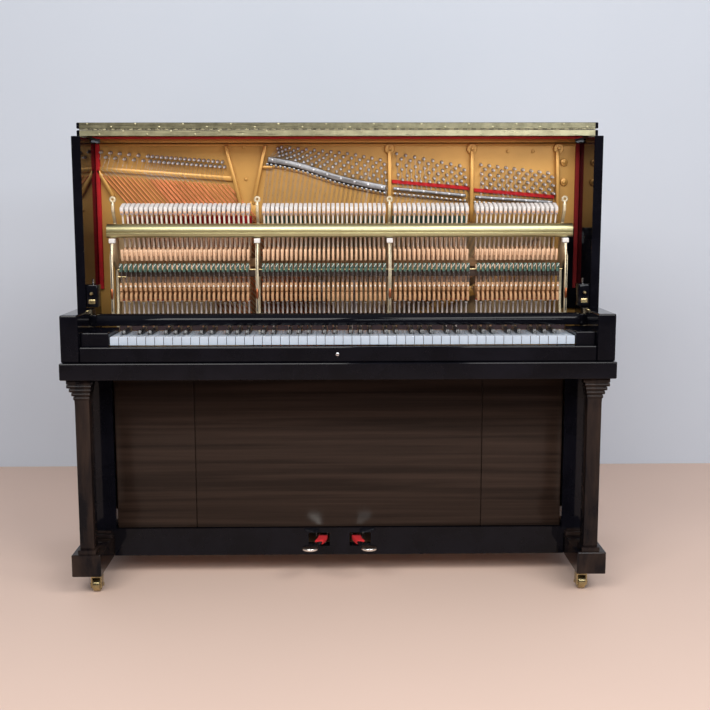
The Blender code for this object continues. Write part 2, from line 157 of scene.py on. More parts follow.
class Wiring:
    """A node material, with short ways to add and join its nodes."""

    def __init__(self, name):
        self.made = bpy.data.materials.new(name)
        self.made.use_nodes = True
        self.tree = self.made.node_tree
        self.shader = self.tree.nodes["Principled BSDF"]
        self.place = self.add("ShaderNodeTexCoord").outputs["Object"]

    def add(self, kind, settings=(), **values):
        node = self.tree.nodes.new(kind)
        for key, value in dict(settings).items():
            setattr(node, key, value)
        self.fill(node, **values)
        return node

    def fill(self, node, **values):
        """Values and links on a node's sockets; an underscore stands for a space."""
        for key, value in values.items():
            socket = node.inputs[key.replace("_", " ")]
            if isinstance(value, bpy.types.NodeSocket):
                self.tree.links.new(value, socket)
            else:
                socket.default_value = value

    def set(self, **values):
        self.fill(self.shader, **values)

    def noise(self, scale, stretch=(1, 1, 1), detail=4.0, rough=0.55, distortion=0.0):
        place = self.add("ShaderNodeMapping", Vector=self.place, Scale=stretch).outputs["Vector"]
        node = self.add("ShaderNodeTexNoise", Vector=place, Scale=scale, Detail=detail)
        self.fill(node, Roughness=rough, Distortion=distortion)
        return node.outputs["Fac"]

    def between(self, fac, low, high, clip=(0.3, 0.7)):
        """A number from low to high as fac runs over the clip."""
        node = self.add("ShaderNodeMapRange", Value=fac)
        for socket, value in zip(list(node.inputs)[1:5], (*clip, low, high)):
            socket.default_value = value
        return node.outputs["Result"]

    def blend(self, fac, dark, light, clip=(0.3, 0.7)):
        """A colour from dark to light as fac runs over the clip."""
        ramp = self.add("ShaderNodeValToRGB", Fac=fac)
        for stop, at, tint in zip(ramp.color_ramp.elements, clip, (dark, light)):
            stop.position = at
            stop.color = (*tint, 1)
        return ramp.outputs["Color"]

    def mixed(self, first, second, share):
        """A number that lies the given share of the way from the first to the second."""
        node = self.add("ShaderNodeMix", {"data_type": "FLOAT"}, Factor=share, A=first, B=second)
        return node.outputs["Result"]

    def rise(self, height, strength, distance):
        node = self.add("ShaderNodeBump", Height=height, Strength=strength, Distance=distance)
        self.set(Normal=node.outputs["Normal"])


def shade(tint, factor):
    return tuple(min(1.0, c * factor) for c in tint)


def polish(name, tint, figure=None, stretch=(1, 1, 1), rough=0.045):
    """High-gloss polyester: a deep colour, hairline scratches and a slow waviness."""
    w = Wiring(name)
    cloud = w.noise(9, stretch, detail=6, rough=0.6, distortion=0.4)
    w.set(Base_Color=w.blend(cloud, tint, figure or shade(tint, 1.9), (0.38, 0.72)))
    scratches = w.noise(900, (1, 0.04, 0.04), detail=2)
    w.set(Roughness=w.between(scratches, rough, rough + 0.04), Specular_IOR_Level=0.15)
    w.rise(w.noise(5, detail=1), 0.035, 0.004)
    return w.made


def metal(
    name, tint, low=0.18, high=0.34, grain=600, stretch=(0.05, 1, 1), metallic=1.0, dull=0.72, bump=0.05
):
    """Worked metal: fine lines along its length and tarnish in slow clouds."""
    w = Wiring(name)
    cloud = w.noise(38, detail=6, rough=0.65)
    lines = w.noise(grain, stretch, detail=2)
    w.set(Base_Color=w.blend(cloud, shade(tint, dull), tint), Metallic=metallic)
    w.set(Roughness=w.between(lines, low, high))
    w.rise(lines, bump, 0.0005)
    return w.made


def lacquer(name, tint):
    """Bronze paint on cast iron: metal flakes, sand-cast waviness and slow darker clouds in the tone."""
    w = Wiring(name)
    cloud = w.noise(7, detail=5, rough=0.6)
    flakes = w.noise(1900, detail=2)
    w.set(Base_Color=w.blend(cloud, shade(tint, 0.84), shade(tint, 1.08), (0.25, 0.75)))
    w.set(Metallic=w.between(flakes, 0.25, 0.5), Roughness=w.between(flakes, 0.3, 0.42))
    w.rise(w.noise(210, detail=5, rough=0.6), 0.12, 0.0006)
    return w.made


def felt(name, tint, fuzz=0.5, layers=0.0):
    """Pressed wool: short fibres, uneven dye and, where asked, the pressed layers of a hammer."""
    w = Wiring(name)
    height = w.noise(1500, (1, 1, 0.45), detail=6, rough=0.75, distortion=0.8)
    cloud = w.noise(60, detail=3)
    w.set(Base_Color=w.blend(cloud, shade(tint, 0.8), shade(tint, 1.06)), Roughness=0.92)
    w.set(Sheen_Weight=fuzz, Sheen_Roughness=0.5, Sheen_Tint=(*shade(tint, 1.15), 1))
    if layers:
        upright = {"bands_direction": "Z"}
        wave = w.add("ShaderNodeTexWave", upright, Vector=w.place, Scale=160.0, Distortion=1.5)
        height = w.mixed(height, wave.outputs["Fac"], layers)
    w.rise(height, 0.5, 0.0008)
    return w.made


def timber(name, tint, along=(1, 1, 0.06), scale=55, contrast=0.62, gloss=(0.42, 0.58)):
    """Bare or oiled wood: growth lines along one axis, fine pores and a slow change of tone."""
    w = Wiring(name)
    lines = w.noise(scale, along, detail=8, rough=0.62, distortion=0.9)
    pores = w.noise(scale * 14, along, detail=3, rough=0.7)
    w.set(Base_Color=w.blend(w.mixed(lines, pores, 0.35), shade(tint, contrast), shade(tint, 1.12)))
    w.set(Roughness=w.between(pores, *gloss), Specular_IOR_Level=0.4)
    w.rise(pores, 0.18, 0.0005)
    return w.made


def covering(name, tint, rough, coat=0.3):
    """Moulded key covering: a nearly even colour with a faint cloud and fine wear."""
    w = Wiring(name)
    w.set(Base_Color=w.blend(w.noise(24, detail=3), shade(tint, 0.93), tint))
    w.set(Roughness=w.between(w.noise(420, (1, 0.2, 1), detail=3), rough, rough + 0.12))
    w.set(Coat_Weight=coat, Coat_Roughness=0.08)
    w.rise(w.noise(300, (1, 0.1, 1)), 0.03, 0.0003)
    return w.made


def backdrop(name, tint, one_sided=False):
    """Matt paint with a very faint roller texture; a one-sided wall isn't seen from behind."""
    w = Wiring(name)
    w.set(Base_Color=w.blend(w.noise(1.2, detail=2), shade(tint, 0.985), shade(tint, 1.01)), Roughness=0.75)
    w.rise(w.noise(160, detail=3), 0.03, 0.001)
    if one_sided:
        mix = w.add("ShaderNodeMixShader", Fac=w.add("ShaderNodeNewGeometry").outputs["Backfacing"])
        w.tree.links.new(w.shader.outputs["BSDF"], mix.inputs[1])
        w.tree.links.new(w.add("ShaderNodeBsdfTransparent").outputs["BSDF"], mix.inputs[2])
        w.fill(w.tree.nodes["Material Output"], Surface=mix.outputs["Shader"])
    return w.made


BRACKET, PEDAL = (0.84, 0.72, 0.5), (0.86, 0.85, 0.82)


def make_finishes(f):
    """Every finish of the piano by its plain name."""
    wide, tall, even = (0.12, 1, 1), (1, 1, 0.08), (1, 1, 1)
    drawn = {"grain": 420, "stretch": (0.03, 1, 1)}
    old = {"low": 0.26, "high": 0.4, "bump": 0.1, **drawn}
    cast = {"low": 0.4, "stretch": even}
    rough_sawn = (22, 0.55, (0.5, 0.68))
    dark_brown, brown, grey = shade(f.figure, 0.42), shade(f.figure, 1.15), shade(f.steel, 0.62)
    return {
        "polish": polish("black_polish", f.polish),
        "polish_wide": polish("black_polish_long_figure", f.polish, f.figure, (0.16, 1, 2.2)),
        "polish_tall": polish("black_polish_tall_figure", f.polish, f.figure, (2.2, 2.2, 0.5)),
        # Knee panel: wood figure, made lighter (the 1.15 brown) so that it also carries a painted
        # reflection of the warm floor.
        "panel": polish("black_polish_panel", dark_brown, brown, (0.1, 1, 5), 0.17),
        "brass": metal("small_brass", f.brass, 0.24, 0.36, dull=0.84, **drawn),
        "hinge": metal("hinge_brass", f.hinge, dull=0.62, **old),
        # A darker copy of the hinge brass for the front leaf: painted shade for the light that leaf doesn't
        # catch.
        "hinge_painted_shade": metal("hinge_brass_front", shade(f.hinge, 0.6), dull=0.5, **old),
        "bar": metal("pressure_bar", grey, high=0.58, grain=260, dull=0.5, bump=0.35, **cast),
        "bracket": metal("bracket_metal", BRACKET, high=0.56, grain=300, metallic=0.75, bump=0.15, **cast),
        "caster": metal("caster_brass", shade(f.brass, 0.6), 0.2, 0.42, grain=220, dull=0.45, bump=0.12),
        "rail": metal("pale_gold", f.rail, 0.34, 0.42, stretch=(0.03, 1, 1), dull=0.93, bump=0.02),
        "steel": metal("bright_metal", f.steel, 0.16, 0.3),
        "string": metal("string_steel", grey, 0.25, 0.38, stretch=(1, 1, 0.2)),
        # Pin steel is painted lighter than the plain steel. It is partly the steel's own colour and partly
        # a painted highlight that stands in for the pins' glints and for the light the lid's shade keeps
        # off them. Tuning pins, bar screws and back bolts share it.
        "pin": metal("pin_steel", shade(f.steel, 1.45), 0.32, 0.5, 900, dull=0.6, metallic=0.6, bump=0.1),
        "copper": metal("string_copper", f.copper, 0.28, 0.42, 2600, even, dull=0.66, bump=0.2),
        "pedal": metal("pedal_metal", PEDAL, 0.1, 0.22, 260, (1, 0.1, 1), dull=0.86),
        "lacquer": lacquer("gold_lacquer", f.lacquer),
        "red": felt("red_felt", f.red_felt, 0.35),
        # A darker copy of the red felt for the right-hand strip: painted shade, because the key light comes
        # from the left.
        "red_painted_shade": felt("deep_red_felt", shade(f.red_felt, 0.42), 0.2),
        # Cloth for the key comb: felt with a faint red, painted down to near black as the shade of the
        # recess under the fall rail.
        "comb_painted_shade": felt("dark_cloth", (0.022, 0.009, 0.011), 0.04),
        "white": felt("white_felt", f.white_felt, 0.4, 0.25),
        "under": felt("grey_felt", (0.52, 0.44, 0.46), 0.3, 0.2),
        "green": felt("green_felt", f.green_felt, 0.4),
        "buckskin": felt("buckskin", (0.8, 0.66, 0.52), 0.3),
        "tape": felt("bridle_tape", (0.78, 0.74, 0.66), 0.1),
        "maple": timber("maple", f.maple, tall),
        "maple_side": timber("maple_lever", (0.5, 0.27, 0.13), (1, 0.08, 1)),
        "birch": timber("birch_shank", (0.93, 0.8, 0.68), tall),
        "dowel": timber("dowel_wood", (0.5, 0.43, 0.4), tall),
        "beech": timber("beech_rail", f.beech, wide, 40),
        "post": timber("post_wood", shade(f.beech, 1.25), tall, *rough_sawn),
        "beam": timber("beam_wood", shade(f.beech, 1.18), wide, *rough_sawn),
        "spruce": timber("spruce", f.spruce, (0.5, 1, 0.03), 90, 0.74, (0.3, 0.42)),
        "dark": timber("shadowed_wood", (0.055, 0.03, 0.018), wide, 40),
        "ivory": covering("key_white", f.ivory, 0.14),
        "ebony": covering("key_black", (0.01, 0.01, 0.012), 0.22, 0.15),
    }


FINISH = {}


def dress(finish, *nodes):
    """Gives CAD nodes, whose shapes are right, a finish."""
    for name in nodes:
        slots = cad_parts[name].data.materials
        slots.clear()
        slots.append(FINISH[finish])


# ---------------------------------------------------------------- shapes

ACROSS, FORWARD, BACKWARD, UP = (1, 0, 0), (0, -1, 0), (0, 1, 0), (0, 0, 1)
CREASE = math.radians(30)  # edges sharper than this are rounded
SMOOTH = math.radians(32)  # edges flatter than this are shaded smooth


def mm(*numbers):
    """Points in metres from pairs of millimetres."""
    return [(u / 1000, v / 1000) for u, v in zip(numbers[::2], numbers[1::2])]


def steps(start, end, count):
    """Numbers spread evenly from start to end, both included."""
    return [start + (end - start) * i / max(1, count - 1) for i in range(count)]


def arc(centre, radius, first, last, count):
    """Points on a part of a circle; angles in degrees."""
    angles = [math.radians(a) for a in steps(first, last, count)]
    return [(centre[0] + radius * math.cos(a), centre[1] + radius * math.sin(a)) for a in angles]


def span(side, near, far):
    """Limits in x of what lies from near to far of the middle on one side, which is -1 or 1."""
    return sorted((side * near, side * far))


class Shape:
    """Gathers closed bodies, each with its own finish, into one mesh in the frame's coordinates."""

    def __init__(self, *finishes):
        self.bm = bmesh.new()
        self.finishes = finishes

    def take(self, part, finish=0, edge=0.0, segments=2):
        """Adds a body; its sharp edges may be rounded."""
        bmesh.ops.remove_doubles(part, verts=part.verts[:], dist=1e-6)
        bmesh.ops.recalc_face_normals(part, faces=part.faces[:])
        if edge:
            sharp = [e for e in part.edges if e.calc_face_angle(0) > CREASE]
            how = {"affect": "EDGES", "profile": 0.5, "clamp_overlap": True}
            bmesh.ops.bevel(part, geom=sharp, offset=edge, segments=segments, **how)
        for face in part.faces:
            face.material_index = finish
        held = bpy.data.meshes.new("held")
        part.to_mesh(held)
        part.free()
        self.bm.from_mesh(held)
        bpy.data.meshes.remove(held)
        return self

    def sweep(self, outline, start, end, place, *how):
        """A closed outline of (u, v) swept from w = start to end; place(u, v, w) gives the point."""
        part = bmesh.new()
        first, last = [[part.verts.new(place(u, v, w)) for u, v in outline] for w in (start, end)]
        part.faces.new(first)
        part.faces.new(reversed(last))
        for i in range(len(outline)):
            j = (i + 1) % len(outline)
            part.faces.new((first[i], last[i], last[j], first[j]))
        return self.take(part, *how)

    def along_x(self, outline, start, end, *how):
        return self.sweep(outline, start, end, lambda u, v, w: (w, u, v), *how)

    def along_y(self, outline, start, end, *how):
        return self.sweep(outline, start, end, lambda u, v, w: (u, w, v), *how)

    def along_z(self, outline, start, end, *how):
        return self.sweep(outline, start, end, lambda u, v, w: (u, v, w), *how)

    def box(self, low, high, *how):
        outline = [(low[0], low[1]), (high[0], low[1]), (high[0], high[1]), (low[0], high[1])]
        return self.along_z(outline, low[2], high[2], *how)

    def block(self, middle, size, *how):
        low = [m - s / 2 for m, s in zip(middle, size)]
        return self.box(low, [m + s / 2 for m, s in zip(middle, size)], *how)

    def skin(self, part, rings, finish, closed):
        """Walls between neighbouring rings of vertices, and a cap at each open end."""
        for lower, upper in [*zip(rings, rings[1:]), *([(rings[-1], rings[0])] if closed else [])]:
            for i in range(len(lower)):
                j = (i + 1) % len(lower)
                part.faces.new((lower[i], lower[j], upper[j], upper[i]))
        if not closed:
            part.faces.new(rings[0])
            part.faces.new(reversed(rings[-1]))
        return self.take(part, finish)

    def lathe(self, profile, centre=(0, 0, 0), axis=UP, sides=20, finish=0, closed=False):
        """A profile of (radius, distance along the axis), turned; a closed one makes a ring."""
        turn = Vector(UP).rotation_difference(Vector(axis)).to_matrix()
        angles = [math.tau * i / sides for i in range(sides)]
        part = bmesh.new()
        rows = []
        for radius, along in profile:
            points = [turn @ Vector((radius * math.cos(a), radius * math.sin(a), along)) for a in angles]
            rows.append([part.verts.new(Vector(centre) + p) for p in points])
        return self.skin(part, rows, finish, closed)

    def tube(self, points, radius, sides=8, finish=0):
        """A round bar through points, with flat ends."""
        points = [Vector(p) for p in points]
        angles = [math.tau * k / sides for k in range(sides)]
        part = bmesh.new()
        rings = []
        for i, point in enumerate(points):
            ahead = points[min(i + 1, len(points) - 1)] - points[max(i - 1, 0)]
            turn = Vector(UP).rotation_difference(ahead).to_matrix()
            ring = [turn @ Vector((math.cos(a), math.sin(a), 0)) * radius for a in angles]
            rings.append([part.verts.new(point + p) for p in ring])
        return self.skin(part, rings, finish, False)

    def mesh(self, name):
        made = bpy.data.meshes.new(name)
        self.bm.to_mesh(made)
        self.bm.free()
        for finish in self.finishes:
            made.materials.append(FINISH[finish])
        return made

    def piece(self, name, body, slot, *replaced):
        return settle(name, self.mesh(name), body, slot, *replaced)


def placed(name, data):
    """An object in the scene that holds the given mesh, light or camera."""
    made = bpy.data.objects.new(name, data)
    bpy.context.scene.collection.objects.link(made)
    return made


def settle(name, mesh, body, slot, *replaced):
    """Makes a finished mesh a piece that rides on a body and may stand for CAD nodes."""
    mesh.name = name
    mesh.shade_smooth()
    mesh.set_sharp_from_angle(angle=SMOOTH)
    made = placed(name, mesh)
    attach(made, body)
    if replaced:
        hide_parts(*replaced)
    return made


# ---------------------------------------------------------------- geometry nodes


def new_tree(name, *inputs):
    """A Geometry Nodes tree with a mesh input, the named inputs and a mesh output."""
    tree = bpy.data.node_groups.new(name, "GeometryNodeTree")
    for label, kind in (("Geometry", "Geometry"), *inputs):
        tree.interface.new_socket(label, in_out="INPUT", socket_type="NodeSocket" + kind)
    tree.interface.new_socket("Geometry", in_out="OUTPUT", socket_type="NodeSocketGeometry")
    return tree, tree.nodes.new("NodeGroupInput").outputs


def grow(tree, kind, result, **links):
    """Adds a node whose inputs come from the given sockets, and gives the named output."""
    node = tree.nodes.new(kind)
    for key, socket in links.items():
        tree.links.new(socket, node.inputs[key.replace("_", " ")])
    return node.outputs[result] if result else node


def finish_tree(tree, given, geometry):
    """Realize Instances, Set Material and the output."""
    real = grow(tree, "GeometryNodeRealizeInstances", "Geometry", Geometry=geometry)
    coat = grow(tree, "GeometryNodeSetMaterial", "Geometry", Geometry=real, Material=given["Finish"])
    grow(tree, "NodeGroupOutput", None, Geometry=coat)
    return tree


def repeat_tree():
    """Puts a shape on every point, sized by the point's own attribute."""
    tree, given = new_tree("repeat_on_points", ("Shape", "Object"), ("Finish", "Material"))
    shape = grow(tree, "GeometryNodeObjectInfo", "Geometry", Object=given["Shape"])
    size = tree.nodes.new("GeometryNodeInputNamedAttribute")
    size.data_type = "FLOAT_VECTOR"
    size.inputs["Name"].default_value = "size"
    copies = grow(
        tree, "GeometryNodeInstanceOnPoints", "Instances",
        Points=given["Geometry"], Instance=shape, Scale=size.outputs["Attribute"],
    )
    return finish_tree(tree, given, copies)


def wire_tree():
    """Turns every run of edges into a round wire of the given radius and number of sides."""
    inputs = (("Radius", "Float"), ("Sides", "Int"), ("Finish", "Material"))
    tree, given = new_tree("wires_along_edges", *inputs)
    line = grow(tree, "GeometryNodeMeshToCurve", "Curve", Mesh=given["Geometry"])
    ring = grow(
        tree, "GeometryNodeCurvePrimitiveCircle", "Curve", Resolution=given["Sides"], Radius=given["Radius"]
    )
    sweep = grow(tree, "GeometryNodeCurveToMesh", None, Curve=line, Profile_Curve=ring)
    sweep.inputs["Fill Caps"].default_value = True
    return finish_tree(tree, given, sweep.outputs["Mesh"])


TREES = {}


def run_tree(tree, source, values):
    """The plain mesh that a tree makes from a source mesh; inputs are set by their identifiers."""
    holder = placed("holder", source)
    modifier = holder.modifiers.new("nodes", "NODES")
    modifier.node_group = TREES[tree]
    sockets = {s.name: s.identifier for s in TREES[tree].interface.items_tree if s.in_out == "INPUT"}
    for label, value in values.items():
        modifier[sockets[label]] = value
    graph = bpy.context.evaluated_depsgraph_get()
    made = bpy.data.meshes.new_from_object(holder.evaluated_get(graph))
    bpy.data.objects.remove(holder)
    bpy.data.meshes.remove(source)
    return made


def repeat(name, shape, places, body, slot, *replaced, widths=None):
    """One piece made of a shape at each place, some wider than others where widths are given."""
    points = bpy.data.meshes.new("points")
    points.from_pydata(places, [], [])
    values = points.attributes.new("size", "FLOAT_VECTOR", "POINT")
    values.data.foreach_set("vector", [c for wide in widths or [1] * len(places) for c in (wide, 1, 1)])
    finish = FINISH[shape.finishes[0]]
    pattern = placed("pattern", shape.mesh("pattern"))
    made = run_tree("repeat", points, {"Shape": pattern, "Finish": finish})
    bpy.data.objects.remove(pattern)
    return settle(name, made, body, slot, *replaced)


def wires(name, runs, radius, finish, body, slot, sides=6):
    """One piece made of a round wire along each run of points."""
    points, edges = [], []
    for run in runs:
        first = len(points)
        points += [tuple(p) for p in run]
        edges += [(i, i + 1) for i in range(first, len(points) - 1)]
    source = bpy.data.meshes.new("runs")
    source.from_pydata(points, edges, [])
    made = run_tree("wires", source, {"Radius": radius, "Sides": sides, "Finish": FINISH[finish]})
    return settle(name, made, body, slot)


def studs(name, finish, profile, sides, spots, axis=FORWARD, body="case", slot="bright_metal"):
    """One piece of small turned heads, pins or knots, one at each spot."""
    return repeat(name, Shape(finish).lathe(profile, axis=axis, sides=sides), spots, body, slot)


# ---------------------------------------------------------------- notes and keys

WHITES = 52
NOTES = 88
BASS_NOTES, TREBLE_FIRST, TOP_FIRST = 27, 54, 70  # the plate's struts part the notes here
LOOSE = 16  # the white key that plays its own note, C3
BLACK_LEAN = {0: 0.003, 2: -0.002, 3: 0.002, 5: -0.003, 6: 0.0}
WHITE_OF_STEP = {0: 0, 2: 1, 3: 2, 5: 3, 7: 4, 8: 5, 10: 6}
PIVOT = Vector((0, 0.0367, 0.905))
LEAN = math.radians(15.5)
KEY_FRONT, KEY_HEADS, KEY_BACK = -0.261, -0.211, -0.118
SIDES = (("left", -1), ("right", 1))


def white_left(index):
    low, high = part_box("white_keys_low")[0].x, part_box("white_keys_high")[1].x
    return low + (high - low) * index / WHITES


def black_middles():
    return {i: white_left(i + 1) + BLACK_LEAN[i % 7] for i in range(WHITES - 1) if i % 7 in BLACK_LEAN}


def bank(colour_name, index):
    """The body that a key moves with."""
    loose = {"white": "key_c3", "black": "key_cs3"}[colour_name]
    return loose if index == LOOSE else f"{colour_name}_keys_" + ("low" if index < LOOSE else "high")


def note_body(note):
    octave, step = divmod(note, 12)
    white = step in WHITE_OF_STEP
    index = 7 * octave + WHITE_OF_STEP[step if white else step - 1]
    return bank("white" if white else "black", index)


def note_places():
    """X of the 88 notes, in the groups that the plate's struts leave room for."""
    half = 0.0049
    bass, tenor, treble, loose = [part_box("hammer" + n) for n in ("s_bass", "s_tenor", "s_treble", "_c3")]
    row = steps(bass[0].x + half, bass[1].x - half, BASS_NOTES)
    row.append((loose[0].x + loose[1].x) / 2)
    row += steps(tenor[0].x + half, tenor[1].x - half, TREBLE_FIRST - BASS_NOTES - 1)
    row += steps(treble[0].x + half, treble[0].x + 0.2145 - half, TOP_FIRST - TREBLE_FIRST)
    return row + steps(treble[0].x + 0.2345 + half, treble[1].x - half, NOTES - TOP_FIRST)


def on_notes(y=0.0, z=0.0):
    return [(x, y, z) for x in note_places()]


def white_outline(index, middles, inset=0.0):
    """Plan of a white key with the real cut-outs beside its black neighbours."""
    gap = bpy.context.scene.piano_case.key_gap / 2 + inset
    half = 0.0064 - inset
    left, right = white_left(index) + gap, white_left(index + 1) - gap
    front, heads = KEY_FRONT + inset, KEY_HEADS - inset
    low = middles[index - 1] + half if index - 1 in middles else left
    high = middles[index] - half if index in middles else right
    outline = [(left, front), (right, front), (right, heads), (high, heads), (high, KEY_BACK)]
    outline += [(low, KEY_BACK), (low, heads), (left, heads)]
    return [p for i, p in enumerate(outline) if p != outline[i - 1]]


def build_white_keys():
    """Covering, front and stick of each white key."""
    middles = black_middles()
    low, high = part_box("white_keys_low")
    top, foot = high.z, low.z + 0.001
    for node in ("white_keys_low", "key_c3", "white_keys_high"):
        made = Shape("ivory", "maple_side")
        for i in range(WHITES):
            if bank("white", i) != node:
                continue
            made.along_z(white_outline(i, middles), top - 0.0024, top, 0, 0.0009)
            plan = white_outline(i, middles, 0.0004)
            left, right = plan[0][0], plan[1][0]
            front = (right + 0.0002, low.y + 0.0016, top - 0.002)
            made.box((left - 0.0002, low.y, low.z), front, 0, 0.0004, 1)
            made.along_z([(x, max(y, low.y + 0.0017)) for x, y in plan], foot, top - 0.0025, 1)
            middle = (plan[-2][0] + plan[-3][0]) / 2 if len(plan) > 5 else (left + right) / 2
            stick = (middle + 0.0055, high.y, 0.69)
            made.box((middle - 0.0055, KEY_BACK + 0.0002, foot), stick, 1, 0.0006, 1)
        made.piece(node + "_covers", node, "ivory", node)


def build_black_keys():
    """Sharps with sloped fronts, and their sticks."""
    low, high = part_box("black_keys_low")
    bottom, top, tip = low.z, high.z, low.y

    def sloped(u, v, w):
        return (u, w + (0.32 * (v - bottom) if w == tip else 0.0), v)

    for node in ("black_keys_low", "key_cs3", "black_keys_high"):
        made = Shape("ebony", "maple_side")
        for i, x in black_middles().items():
            if bank("black", i) != node:
                continue
            outline = [(x - 0.0052, bottom), (x + 0.0052, bottom), (x + 0.0044, top), (x - 0.0044, top)]
            made.sweep(outline, tip, -0.0975, sloped, 0, 0.0013)
            made.box((x - 0.005, -0.0974, bottom), (x + 0.005, -0.014, bottom + 0.009), 1, 0.0006, 1)
        made.piece(node + "_tops", node, "ebony", node)


def build_capstans():
    """The dowel on the back of each key that carries its wippen; the black keys' stop just short."""
    wide = bpy.context.scene.piano_action.dowel
    rows = {}
    for note, x in enumerate(note_places()):
        rows.setdefault(note_body(note), []).append(x)
    for body, row in rows.items():
        black = body.startswith("black") or body == "key_cs3"
        foot, top = (0.7076, 0.7662) if black else (0.6912, 0.7715)
        places = [(x, -0.0045, 0.0) for x in row]
        dowel = [(wide, foot), (wide, top - 0.0025), (wide * 0.7, top)]
        studs("capstan_dowels_" + body, "dowel", dowel, 20, places, UP, body, "maple")
        cushion = [(0.0042, top + 0.0001), (0.0042, top + 0.0034)]
        studs("capstan_cushions_" + body, "white", cushion, 12, places, UP, body, "white_felt")
        block = Shape("maple_side")
        block.box((-0.0055, -0.012, foot - 0.01), (0.0055, 0.004, foot - 0.0001), 0, 0.0006, 1)
        repeat("key_ends_" + body, block, [(x, 0.0, 0.0) for x in row], body, "maple")


def build_key_well():
    """Cloth between the black keys, near black as painted shade under the fall rail; the rail behind them
    with its end stops, and the lock plate.
    """
    low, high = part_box("fall_rail")
    middles = sorted(black_middles().values())
    starts = [white_left(0) - 0.001] + [x + 0.0066 for x in middles]
    ends = [x - 0.0066 for x in middles] + [white_left(WHITES) + 0.001]
    # The comb between the black keys is near-black cloth, which is painted shade under the fall rail.
    comb = Shape("comb_painted_shade")
    for left, right in zip(starts, ends):
        comb.box((left, -0.1228, 0.7026), (right, -0.1208, low.z - 0.0002), 0, 0.0003, 1)
    comb.piece("key_comb_cloth", "case", "red_felt")
    front = arc((-0.1, 0.7254), 0.022, 100, 182, 12)
    outline = [(high.y, low.z), (high.y, high.z - 0.0006), *front, (low.y, low.z)]
    made = Shape("polish").along_x(outline, low.x, high.x, 0, 0.0006)
    made.piece("fall_rail_rounded", "case", "black_polish", "fall_rail")
    stops = Shape("polish")
    for side in (-1, 1):
        left, right = span(side, high.x + 0.0004, 0.703)
        stops.box((left, low.y + 0.006, low.z - 0.0018), (right, high.y, high.z - 0.003), 0, 0.002)
    stops.piece("fall_rail_stops", "case", "black_polish")
    middle = Vector((-0.0037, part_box("key_slip")[0].y - 0.0001, 0.657))
    plate = Shape("steel", "dark").lathe(mm(4.6, 0, 4.6, 1.6, 3.6, 2.2), middle, FORWARD)
    plate.lathe(mm(1.3, 0, 1.3, 2.4), middle, FORWARD, 12, 1)
    plate.piece("lock_plate", "case", "bright_metal")


# ---------------------------------------------------------------- action

# Outlines in (y, z). Those of the hammers are from the pivot: towards the strings, and up the shank.
HAMMER_FELT = mm(-10, 126.2, -9.8, 140, 0, 141.2, 20, 142, 34, 141.2, 43, 138.5, 48, 134.5, 49.8, 130)
HAMMER_FELT += mm(48, 125.6, 43, 121.5, 36, 119, 32, 126.2)
UNDERFELT = mm(-8.5, 119.2, 34, 118.4, 31.5, 125.8, -10, 125.8)
MOULDING = mm(-10.8, 123.8, -10.8, 128.8, -10, 130, 30, 130, 30, 123.8)
BUTT = mm(-16, -14, 12, -14, 12, 10, 5, 22, -5, 22, -16, 12)
CATCHER = mm(-55, -2, -47.5, -4, -47.5, 30, -53, 30, -55, 26)
CATCHER_SKIN = mm(-47.4, -2, -45.2, -1, -45.2, 26, -47.4, 29)
SHANK, CATCHER_SHANK = mm(0, 18, 0, 124), mm(-14, 0, -49, 4)
LEVER = mm(-48, 776, -48, 796, -41, 797.5, -41, 803.5, -48, 805, -48, 825.5, -44, 828.5, -38.5, 825.5)
LEVER += mm(-36.5, 812, -12, 806, 20, 812, 46, 811, 55.5, 806, 55.5, 794, 30, 790, 6, 789, 4, 778.5)
LEVER += mm(-12, 778.5, -14, 789, -34, 789, -38.5, 777)
HEEL = mm(-12.5, 776, 4.5, 776, 4.5, 778.4, -12.5, 778.4)
JACK = mm(7.5, 813, 7.5, 875.5, 14.5, 875.5, 15, 822, 24, 818, 24, 812.5)
CHECK = mm(-43, 858.5, -42.5, 880, -39.5, 882, -37.5, 881.5, -37.5, 858.5)
CHECK_FELT = mm(-37.4, 859, -37.4, 880.5, -33.5, 880, -31.5, 877, -33, 859.5)
CHECK_WIRE = (0, -0.0395, 0.824), (0, -0.0405, 0.842), (0, -0.0402, 0.859)
BRIDLE_WIRE = (0.003, -0.044, 0.826), (0.0032, -0.0455, 0.866), (-0.0034, -0.0462, 0.8795)
BRIDLE_TIP = (-0.0036, -0.0464, 0.872), (0.003, -0.046, 0.881)
DAMPER_LEVER = mm(77.5, 845, 83.5, 845, 83.5, 872, 81.5, 955, 79.5, 955, 77.5, 872)
DAMPER_BLOCK = mm(79, 956, 84, 956.5, 84, 1013.5, 80.5, 1013.5, 79, 1010)
DAMPER_FELT = mm(85, 958, 95.5, 964, 93, 982, 95.5, 986, 93, 1005, 94.5, 1012, 85, 1013)
DAMPER_BACK = mm(84.1, 957, 84.9, 957, 84.9, 1013, 84.1, 1013)
RAIL = mm(-20, 955, -15, 953.6, 6, 953, 10.5, 956, 6, 974, 1.5, 989.5, -3, 992.2, -8, 993, -13, 991.5)
RAIL += mm(-18, 988, -21.5, 983, -23.2, 977, -23.5, 970, -21, 969, -21, 966.5, -23.5, 965.5, -22.8, 959)
REST_FELT = mm(8.5, 964, 12.5, 965, 7.5, 986, 3.2, 985)
FLANGE = mm(44, 893, 73.5, 893, 73.5, 898.5, 44, 901)
BRACKET_NECK = mm(56, 945, 40, 982, 30, 1000, 13, 1020, 4, 1046, -4, 1046, -2, 1026, 21.5, 995, 19.5, 945)
BRACKET_POST = mm(-27, 938, -44, 900, -44, 716, -33, 716, -33, 880)
BRACKET_FOOT = mm(-18, 890, 33, 860, 33, 760, 20, 725, 20, 636.4, 59, 636.4, 70, 646, 70, 810, 56, 840)


